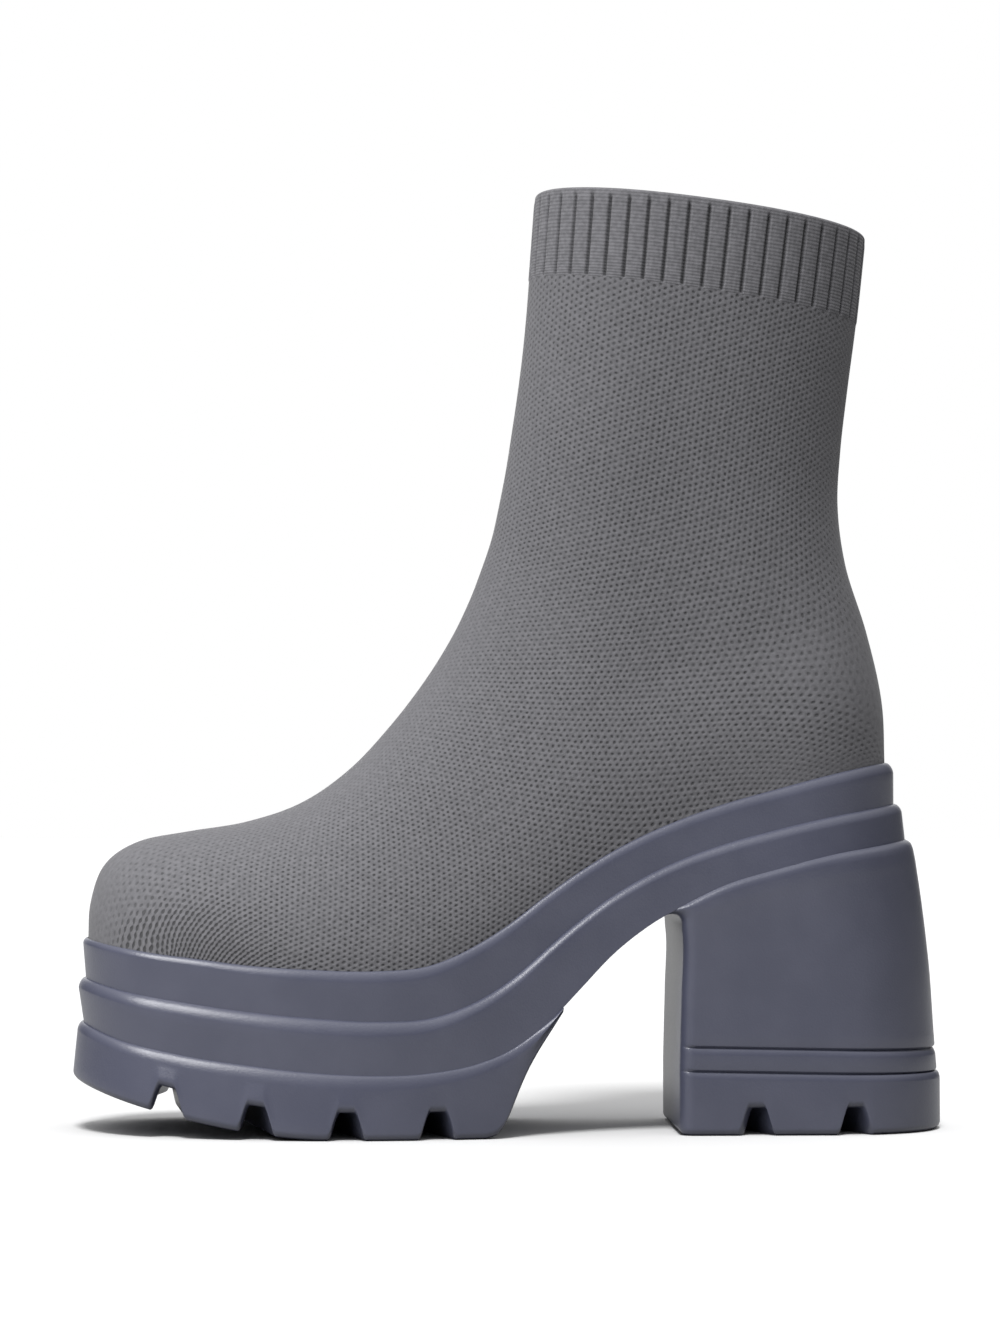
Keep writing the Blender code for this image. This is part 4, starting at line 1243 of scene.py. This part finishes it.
# %% [markdown]
# The node tree reads two values that the band carries: `around`, from 0 to 1 round the ring, and
# `ribbing`, which fades the grooves out below the rolled edge. It moves each point along its normal,
# stores how deep it lies as `groove` for the material, and hands on a plain mesh.

# %% Ribs by Geometry Nodes
GEOMETRY = "NodeSocketGeometry"
RIB_GROOVE_DEPTH = 0.0012
RIB_GROOVE_HALF = 0.13
RIB_CROWN = 0.0002


def apply_nodes(piece, tree, values):
    """Run a geometry tree on a piece with these inputs, and keep its result as a plain mesh."""
    modifier = piece.modifiers.new(tree.name, "NODES")
    modifier.node_group = tree
    for item in tree.interface.items_tree:
        if item.in_out == "INPUT" and item.name in values:
            modifier[item.identifier] = values[item.name]
    piece.update_tag()
    view = bpy.context.evaluated_depsgraph_get()
    made = bpy.data.meshes.new_from_object(piece.evaluated_get(view), depsgraph=view)
    made.name = piece.name
    piece.modifiers.remove(modifier)
    piece.data = made


rib_tree, start, end = new_group("cuff_ribs", "GeometryNodeTree", [
    ("Band", GEOMETRY, None),
    ("Rib Count", FLOAT, CUFF_RIBS),
    ("Groove Depth", FLOAT, RIB_GROOVE_DEPTH),
    ("Groove Half Width", FLOAT, RIB_GROOVE_HALF),
    ("Rib Crown", FLOAT, RIB_CROWN),
    ("Material", "NodeSocketMaterial", None),
], [("Ribs", GEOMETRY)])
tree = rib_tree
around = add_node(tree, "GeometryNodeInputNamedAttribute", {"Name": "around"}).outputs[0]
ribbing = add_node(tree, "GeometryNodeInputNamedAttribute", {"Name": "ribbing"}).outputs[0]
in_rib = calculate(tree, "FRACT", calculate(tree, "MULTIPLY", around, start.outputs["Rib Count"]))
from_groove = calculate(tree, "ABSOLUTE", calculate(tree, "SUBTRACT", in_rib, 0.5))
groove = remap(tree, from_groove, 0.0, start.outputs["Groove Half Width"], 1.0, 0.0)
groove = calculate(tree, "MULTIPLY", groove, ribbing)
crown = calculate(tree, "SINE", calculate(tree, "MULTIPLY", from_groove, math.pi))
crown = calculate(tree, "MULTIPLY", crown, ribbing)
crown = calculate(tree, "MULTIPLY", crown, start.outputs["Rib Crown"])
sunk = calculate(tree, "MULTIPLY", groove, start.outputs["Groove Depth"])
move = calculate(tree, "SUBTRACT", crown, sunk)
normal = add_node(tree, "GeometryNodeInputNormal").outputs[0]
offset = add_node(tree, "ShaderNodeVectorMath", {0: normal, "Scale": move}, operation="SCALE")
stored = add_node(tree, "GeometryNodeStoreNamedAttribute", {
    "Geometry": start.outputs["Band"], "Name": "groove", "Value": groove}, domain="POINT")
moved = add_node(tree, "GeometryNodeSetPosition", {
    "Geometry": stored.outputs[0], "Offset": offset.outputs[0]})
real = add_node(tree, "GeometryNodeRealizeInstances", {"Geometry": moved.outputs[0]})
painted = add_node(tree, "GeometryNodeSetMaterial", {
    "Geometry": real.outputs[0], "Material": start.outputs["Material"]})
tree.links.new(painted.outputs[0], end.inputs["Ribs"])

apply_nodes(ribbed_cuff, rib_tree, {
    "Rib Count": float(CUFF_RIBS), "Groove Depth": RIB_GROOVE_DEPTH,
    "Groove Half Width": RIB_GROOVE_HALF, "Rib Crown": RIB_CROWN, "Material": rib_knit})
count_faces(ribbed_cuff)

# %% [markdown]
# ## The moulded sole
# The sole is moulded in one mould with two ledges along its side. Each ledge ends in a wide round
# lip that catches the light, with a crisp inner corner above it. The loops that follow run round the
# foot at a set distance from the last. A curve a little flatter than a quarter round joins wall and
# ledge, because it gives the wide streak of light that a plain round would make too thin.

# %% Lines of the lips
ROUND_CUTS = 12
LIP_ROUND = 1.6

# How far the inner corner of each line lies above its mould line
LINE_RISE = columns("x rim upper_step lower_step", [
    (-131, -0.6, 1.8, 1.0),
    (-121, -0.9, 2.1, 1.3),
    (-108, -0.7, 2.4, 1.9),
    (-93, 0.0, 2.7, 2.3),
    (-78, 0.3, 2.9, 2.7),
    (-63, 0.5, 3.0, 3.0),
    (-48, 0.4, 3.0, 2.9),
    (-33, 0.3, 2.8, 2.4),
    (-19, 0.5, 2.3, 1.9),
    (-4, 1.0, 2.0, 1.3),
    (5, 1.4, 2.4, 1.0),
    (14, 1.4, 3.1, 0.4),
    (26, 0.9, 3.1, 0.4),
    (41, 0.3, 1.9, 0.4),
    (56, 0.0, 0.9, 0.0),
    (71, 0.0, 0.3, 0.0),
    (86, 0.0, 0.0, 0.1),
    (101, 0.0, -0.2, 0.3),
    (119, 0.0, -0.2, 0.5),
])

# How tall the rounded lip below each of these corners is
LIP_TALL = columns("x rim upper_step lower_step", [
    (-131, 1.8, 3.6, 3.4),
    (-93, 2.2, 4.0, 4.0),
    (-48, 3.4, 4.6, 4.8),
    (-4, 3.4, 3.4, 3.2),
    (20, 3.0, 2.8, 2.6),
    (56, 3.2, 3.0, 3.0),
    (119, 3.6, 3.4, 3.2),
])


def lip_tall(name, x):
    """Height of the lip of a step, or of the rim, at x."""
    return curve(LIP_TALL["x"], LIP_TALL[name], x)


def ledge_z(name, x):
    """Height of the inner corner of a step, or of the top of the rim."""
    return side_line(name, x) + curve(LINE_RISE["x"], LINE_RISE[name], x)


def lip_steps():
    """Shares of a lip's depth and height, from its wall over its round to its inner corner."""
    turn = quarter(ROUND_CUTS)
    return zip(1 - np.cos(turn).clip(0) ** (2 / LIP_ROUND), np.sin(turn) ** (2 / LIP_ROUND))


print("lips from", LIP_TALL["rim"].min(), "to", LIP_TALL["lower_step"].max(), "mm tall")

# %% [markdown]
# A loop follows the foot at the distance that a step stands out. Its cuts lie closer at the round ends.
# A wall gets a few loops of its own, and a lip a dozen, so that the light bends smoothly over it.

# %% Loops round the foot
TOE_CUTS = 40
WAIST_CUTS = 130
HEEL_CUTS = 34
WALL_CUTS = 5


def foot_stations():
    """X of the cuts along the foot, closer at the round ends."""
    turn = quarter(TOE_CUTS + 1)[:0:-1]
    toe = TOE_SHOULDER_X - (TOE_SHOULDER_X - TOE_X) * np.sin(turn) ** (2 / TOE_CROWN)
    middle = np.linspace(TOE_SHOULDER_X, HEEL_X - HEEL_ROUND, WAIST_CUTS)
    heel = HEEL_X - HEEL_ROUND * (1 - np.sin(quarter(HEEL_CUTS)[1:]) ** (2 / HEEL_SQUARE))
    return np.concatenate([toe, middle, heel])


def foot_loop(stations, out, height):
    """A loop round the foot: the outer side from the toe back, then the inner side forward."""
    outer_x, outer_y = edge(stations, OUTER, out)
    inner_x, inner_y = edge(stations, INNER, out)
    closed_heel = stations[-1] > HEEL_X - TINY
    back = slice(-2, 0, -1) if closed_heel else slice(None, 0, -1)
    x = np.concatenate([outer_x, inner_x[back]])
    y = np.concatenate([outer_y, inner_y[back]])
    return np.stack([x, y, height(x)], axis=1)


def both_sides(values):
    """Values along the outer side of a loop with an open end, then back along its inner side."""
    return np.concatenate([values, values[:0:-1]])


def add_wall(loops, top):
    """Loops of a straight wall from the last loop up to this one."""
    foot = loops[-1]
    for share in np.linspace(0, 1, WALL_CUTS + 1)[1:]:
        loops.append(foot + share * (top - foot))


def add_lip(loops, stations, name, wide, deep, limit=None):
    """A wall up to a lip, and the lip's round from its wall to its inner corner."""
    for depth, height in lip_steps():
        loop = foot_loop(stations, wide + (deep - wide) * depth, lambda x: ledge_z(name, x) - TINY)
        tall = lip_tall(name, loop[:, 0])
        if limit is not None:
            tall = np.minimum(tall, limit)
        loop[:, 2] -= tall * (1 - height)
        if height == 0:
            add_wall(loops, loop)
        else:
            loops.append(loop)


print(len(foot_stations()), "cuts along the foot")

# %% [markdown]
# Loops laid one on the next make a solid once both ends are closed. Strips from side to side close a
# plain end. Under a tread the strips are bent to a chevron, which the gaps between the lugs follow.

# %% Solids from loops
TREAD_CUTS = 12


def add_tread(bm, ring, bends):
    """Close an open-ended ring with strips bent to a chevron, by (x, z) moves in its middle."""
    count = len(ring)
    last = count // 2
    rungs = [[ring[0]] * (TREAD_CUTS + 1)]
    for i in range(1, last):
        left = np.array(ring[i].co)
        right = np.array(ring[count - i].co)
        shares = np.linspace(0, 1, TREAD_CUTS + 1)[1:-1, None]
        move = np.array([bends[i][0], 0, bends[i][1]]) * MM
        points = left + shares * (right - left) + (1 - np.abs(2 * shares - 1)) * move
        rungs.append([ring[i]] + [bm.verts.new(point) for point in points.tolist()] + [ring[count - i]])
    for low, high in zip(rungs, rungs[1:]):
        for i in range(TREAD_CUTS):
            add_face(bm, (low[i], high[i], high[i + 1], low[i + 1]))
    bm.faces.new(rungs[-1] + [ring[last + 1], ring[last]])


def stack(name, loops, material, bends=None):
    """A closed solid from loops laid one on the next, its two ends closed with strips."""
    bm = bmesh.new()
    rings = [add_points(bm, loop) for loop in loops]
    for low, high in zip(rings, rings[1:]):
        add_band(bm, low, high)
    if bends is None:
        add_ladder(bm, rings[0])
    else:
        add_tread(bm, rings[0], bends)
    add_ladder(bm, rings[-1])
    return new_object(name, bm, material)


def build_midsole():
    """The moulded cup: its underside, two steps of its side, its rim and the floor inside."""
    stations = foot_stations()
    rim_foot = step_out("rim_foot", stations)
    wall = np.full(stations.shape, FIT_GAP)
    loops = [foot_loop(stations, step_out("mid_foot", stations), lambda x: ledge_z("lower_step", x))]
    add_lip(loops, stations, "upper_step", step_out("mid_top", stations), rim_foot)
    add_lip(loops, stations, "rim", step_out("rim_top", stations), wall)
    loops.append(foot_loop(stations, wall, seat_z))
    return stack("midsole_cup", loops, rubber)


midsole = build_midsole()
count_faces(midsole)

# %% [markdown]
# ## The tread
# The forefoot tread has lugs with rounded edges. The gaps between them run across the sole in a
# chevron, so each strip of the underside is bent forward in its middle. Towards the toe the tread
# springs up from the floor, and behind the last lug it rises into the arch.

# %% Forefoot tread
TREAD_FLAT_X = -52.0
TOE_SPRING = 15.4
TOE_SPRING_POWER = 1.8
LUG_ROUND = 2.4
LUG_GAP_DEPTH = 8.2
LUG_GAP_HALF = (2.0, 5.6)
LUG_GAP_XS = -101.6 + 26.1 * np.arange(4)
CHEVRON = 13.0
CHEVRON_FADE = 22.0
CHEVRON_TOE_FADE = 76.0
ROUND_SHARE = 0.4
STATION_CLEAR = 0.5
GAP_CUTS = 21
ARCH_CUTS = 24

# Underside of the tread behind its last lug, up into the arch
ARCH_RISE = columns("x z", [
    (-9.0, 0.0),
    (-5.5, 1.3),
    (-3.0, 4.3),
    (-1.0, 8.7),
    (1.2, 14.1),
    (3.9, 20.0),
    (7.3, 26.0),
    (10.9, 31.9),
    (14.2, 37.3),
])


def merge_stations(plain, corners):
    """Cuts at every corner, and the plain cuts that do not crowd a corner."""
    away = np.min(np.abs(plain[:, None] - corners), axis=1)
    return np.unique(np.round(np.concatenate([plain[away > STATION_CLEAR], corners]), 4))


def gap_stations(centres):
    """X of close cuts across the gaps between lugs."""
    sides = np.linspace(-LUG_GAP_HALF[1], LUG_GAP_HALF[1], GAP_CUTS)
    return (np.array(centres)[:, None] + sides).ravel()


def gap_rise(x, centres):
    """How far the tread is raised at x by the gaps between lugs."""
    away = np.min(np.abs(np.asarray(x)[:, None] - np.array(centres)), axis=1)
    return LUG_GAP_DEPTH * (1 - smooth(*LUG_GAP_HALF, away))


def spring_z(x):
    """How far the toe springs up from the floor at x."""
    ahead = np.clip((TREAD_FLAT_X - x) / (TREAD_FLAT_X - TOE_X), 0, None)
    return TOE_SPRING * ahead ** TOE_SPRING_POWER


def tread_bends(stations, front_fade):
    """The chevron of the tread: moves of its middle towards the toe, faded at both ends."""
    low = min(stations)
    high = max(stations)
    front = smooth(low, low + front_fade, stations)
    back = 1 - smooth(high - CHEVRON_FADE, high, stations)
    return -CHEVRON * front * back


def build_outsole():
    """The lugged forefoot tread, with the lowest step of the side."""
    arch_x = np.linspace(ARCH_RISE["x"][0], ARCH_RISE["x"][-1], ARCH_CUTS)
    corners = np.concatenate([gap_stations(LUG_GAP_XS), arch_x])
    stations = merge_stations(foot_stations(), corners)
    stations = stations[stations < ARCH_RISE["x"][-1] + TINY]
    arch = np.where(stations < arch_x[0], 0, curve(ARCH_RISE["x"], ARCH_RISE["z"], stations))
    tread = spring_z(stations) + np.maximum(arch, 0) + gap_rise(stations, LUG_GAP_XS)
    thick = ledge_z("lower_step", stations) - tread
    lug_round = np.minimum(LUG_ROUND, ROUND_SHARE * thick)
    low_foot = step_out("low_foot", stations)
    loops = []
    for turn in quarter(ROUND_CUTS):
        loop = foot_loop(stations, low_foot - lug_round * (1 - math.sin(turn)), seat_z)
        loop[:, 2] = both_sides(tread + lug_round * (1 - math.cos(turn)))
        loops.append(loop)
    add_lip(loops, stations, "lower_step", step_out("low_top", stations), step_out("mid_foot", stations),
            both_sides(ROUND_SHARE * thick))
    bend = tread_bends(stations, CHEVRON_TOE_FADE)
    lift = spring_z(stations + bend) - spring_z(stations)
    return stack("forefoot_tread", loops, rubber, np.stack([bend, lift], axis=1))


outsole = build_outsole()
count_faces(outsole)

# %% [markdown]
# ## The block heel
# The heel block widens at the top to meet the ledge above it, and leans back towards its base. Two
# fine grooves run round it just above the wear piece: in each, a sharp upper edge looks down on the
# rounded shoulder of the band below.

# %% Plan of the heel
BREAST_X = 50.0
HEEL_BACK_ROUND = 37.0
HEEL_CORNER = 4.5
HEEL_MIDDLE_CUTS = 26
CORNER_CUTS = 9
JOINT_Z = 19.2
JOINT_FALL = 1.6

# Plan of the block heel at a share of its height: its breast in front and its round back
HEEL_LEVELS = columns("share front back outer inner", [
    (0.00, 50.2, 132.3, 34.6, 33.6),
    (0.45, 50.8, 130.0, 35.0, 34.0),
    (0.85, 51.0, 126.5, 35.8, 34.8),
    (0.93, 50.4, 125.6, 36.1, 35.1),
    (0.965, 49.2, 125.0, 36.0, 35.0),
    (0.985, 47.7, 124.3, 35.6, 34.6),
    (1.00, 45.6, 122.9, 34.8, 33.8),
])


def joint_z(x):
    """Height of the joint between the block heel and its wear piece."""
    return JOINT_Z - JOINT_FALL * (x - BREAST_X) / (HEEL_BASE_X - BREAST_X)


def heel_stations():
    """X of the cuts along the heel's base, closer at its round back and its breast corners."""
    back = HEEL_BASE_X - HEEL_BACK_ROUND * (1 - np.sin(quarter(HEEL_CUTS)) ** (2 / HEEL_SQUARE))
    corner = BREAST_X + HEEL_CORNER * (1 - np.sin(quarter(CORNER_CUTS)))
    middle = np.linspace(corner[0], back[0], HEEL_MIDDLE_CUTS)
    return np.unique(np.round(np.concatenate([corner, middle, back]), 4))


def heel_loop(stations, front, back, outer, inner, inset=0.0, groove=0.0):
    """A loop round the heel: from its back by the outer side to the breast, and back inside."""
    share = (HEEL_BASE_X - stations) / (HEEL_BASE_X - BREAST_X)
    front = front + inset
    back = back - inset - groove
    radius = HEEL_CORNER - inset
    x = back - share * (back - front)
    shy = radius - np.clip(x - front, 0, radius)
    corner = radius - np.sqrt(radius ** 2 - shy ** 2)
    shrink = inset + groove * (1 - shy / radius)
    full = round_end(back - x, HEEL_BACK_ROUND, HEEL_SQUARE)
    outer_y = AXIS_Y - (outer - shrink) * full + corner
    inner_y = AXIS_Y + (inner - shrink) * full - corner
    y = np.concatenate([outer_y, inner_y[:0:-1]])
    x = both_sides(x)
    return np.stack([x, y, joint_z(x)], axis=1)


def heel_plan(share):
    """Breast, back and half widths of the block heel at a share of its height."""
    names = ("front", "back", "outer", "inner")
    return [float(curve(HEEL_LEVELS["share"], HEEL_LEVELS[name], share)) for name in names]


print("heel from", BREAST_X, "to", HEEL_BASE_X, "mm at its base")

# %% Heel block
HEEL_HEIGHT = 58.0
GROOVE_UP = 7.2
GROOVE_DEPTH = 0.9
GROOVE_LIP = 2.2
WIDEN_SHARE = 0.85
LEVEL_SHARE = 0.45
BLOCK_CUTS = 14
WIDEN_CUTS = 18

# Rise above a groove and depth left there, over the sharp edge that looks down on it
SHARP_EDGE = ((0.7, 0.1), (1.2, 0.0))


def build_heel_block():
    """The block heel from the joint with its wear piece up to the lowest step of the side."""
    stations = heel_stations()[::-1]
    grooves = [(0.0, GROOVE_DEPTH), *SHARP_EDGE]
    for depth, height in lip_steps():
        grooves.append((GROOVE_UP - GROOVE_LIP * (1 - height), GROOVE_DEPTH * depth))
    grooves += [(GROOVE_UP + rise, depth) for rise, depth in SHARP_EDGE]
    loops = []
    for rise, groove in grooves:
        loop = heel_loop(stations, *heel_plan(rise / HEEL_HEIGHT), groove=groove)
        loop[:, 2] += TINY + rise
        loops.append(loop)
    low_share = grooves[-1][0] / HEEL_HEIGHT
    wall = np.linspace(low_share, WIDEN_SHARE, BLOCK_CUTS)[1:]
    widening = np.linspace(WIDEN_SHARE, 1, WIDEN_CUTS)[1:]
    for share in np.concatenate([wall, widening]):
        loop = heel_loop(stations, *heel_plan(share))
        low = loop[:, 2]
        top = ledge_z("lower_step", loop[:, 0]) - TINY
        blend = smooth(low_share, LEVEL_SHARE, share)
        even = low + share * HEEL_HEIGHT
        loop[:, 2] = even + blend * (low + share * (top - low) - even)
        loops.append(loop)
    return stack("heel_block", loops, rubber)


heel_block = build_heel_block()
count_faces(heel_block)

# %% [markdown]
# The wear piece is a separate layer, because it is the part that is worn away and replaced. Its lugs
# are rounded and bent to a chevron in the same way as the tread's, by the same functions.

# %% Wear piece
HEEL_GAP_XS = np.array([72.9, 103.2])


def build_heel_top_piece():
    """The lugged wear piece under the block heel."""
    stations = merge_stations(heel_stations(), gap_stations(HEEL_GAP_XS))[::-1]
    front, _, outer, inner = heel_plan(0.0)
    plan = (front, HEEL_BASE_X, outer, inner)
    loops = []
    for turn in quarter(ROUND_CUTS):
        loop = heel_loop(stations, *plan, inset=LUG_ROUND * (1 - math.sin(turn)))
        rise = gap_rise(stations, HEEL_GAP_XS) + LUG_ROUND * (1 - math.cos(turn))
        loop[:, 2] = both_sides(rise)
        loops.append(loop)
    for depth, height in lip_steps():
        loop = heel_loop(stations, *plan, groove=GROOVE_DEPTH * depth)
        loop[:, 2] -= GROOVE_LIP * (1 - height)
        loops.append(loop)
    bend = tread_bends(stations, CHEVRON_FADE)
    return stack("heel_wear_piece", loops, rubber, np.stack([bend, np.zeros(bend.shape)], axis=1))


heel_top_piece = build_heel_top_piece()
count_faces(heel_top_piece)

# %% [markdown]
# ## The footbed
# Inside, a cloth-covered board lies on the floor of the cup. It shows only from above, through the
# collar, so a plain board with a rounded edge is enough.

# %% Footbed
INSOLE_THICK = 3.6
INSOLE_EASE = 0.6
INSOLE_ROUND = 1.0
INSOLE_CUTS = 5


def build_footbed():
    """The footbed board, lying in the cup inside the upper's wall."""
    stations = foot_stations()
    out = np.full(stations.shape, -(WALL + INSOLE_EASE))
    top = FIT_GAP + INSOLE_THICK
    loops = [foot_loop(stations, out, lambda x: seat_z(x) + FIT_GAP)]
    for turn in quarter(INSOLE_CUTS):
        loop = foot_loop(stations, out - INSOLE_ROUND * (1 - math.cos(turn)), lambda x: seat_z(x) + top)
        loop[:, 2] -= INSOLE_ROUND * (1 - math.sin(turn))
        loops.append(loop)
    return stack("footbed", loops, footbed_cloth)


footbed = build_footbed()
count_faces(footbed)

# %% [markdown]
# ## Handing over
# Each fine piece takes the place of its solid and rides on the same body.

# %% Take over from the solids
for piece, node, slot in (
        (knit_body, "upper", "knit"),
        (footbed, "insole", "footbed"),
        (midsole, "midsole", "sole_rubber"),
        (outsole, "outsole", "sole_rubber"),
        (heel_block, "heel_block", "sole_rubber"),
        (heel_top_piece, "heel_top_piece", "sole_rubber")):
    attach(piece, "root")
    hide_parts(node)
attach(ribbed_cuff, "root")
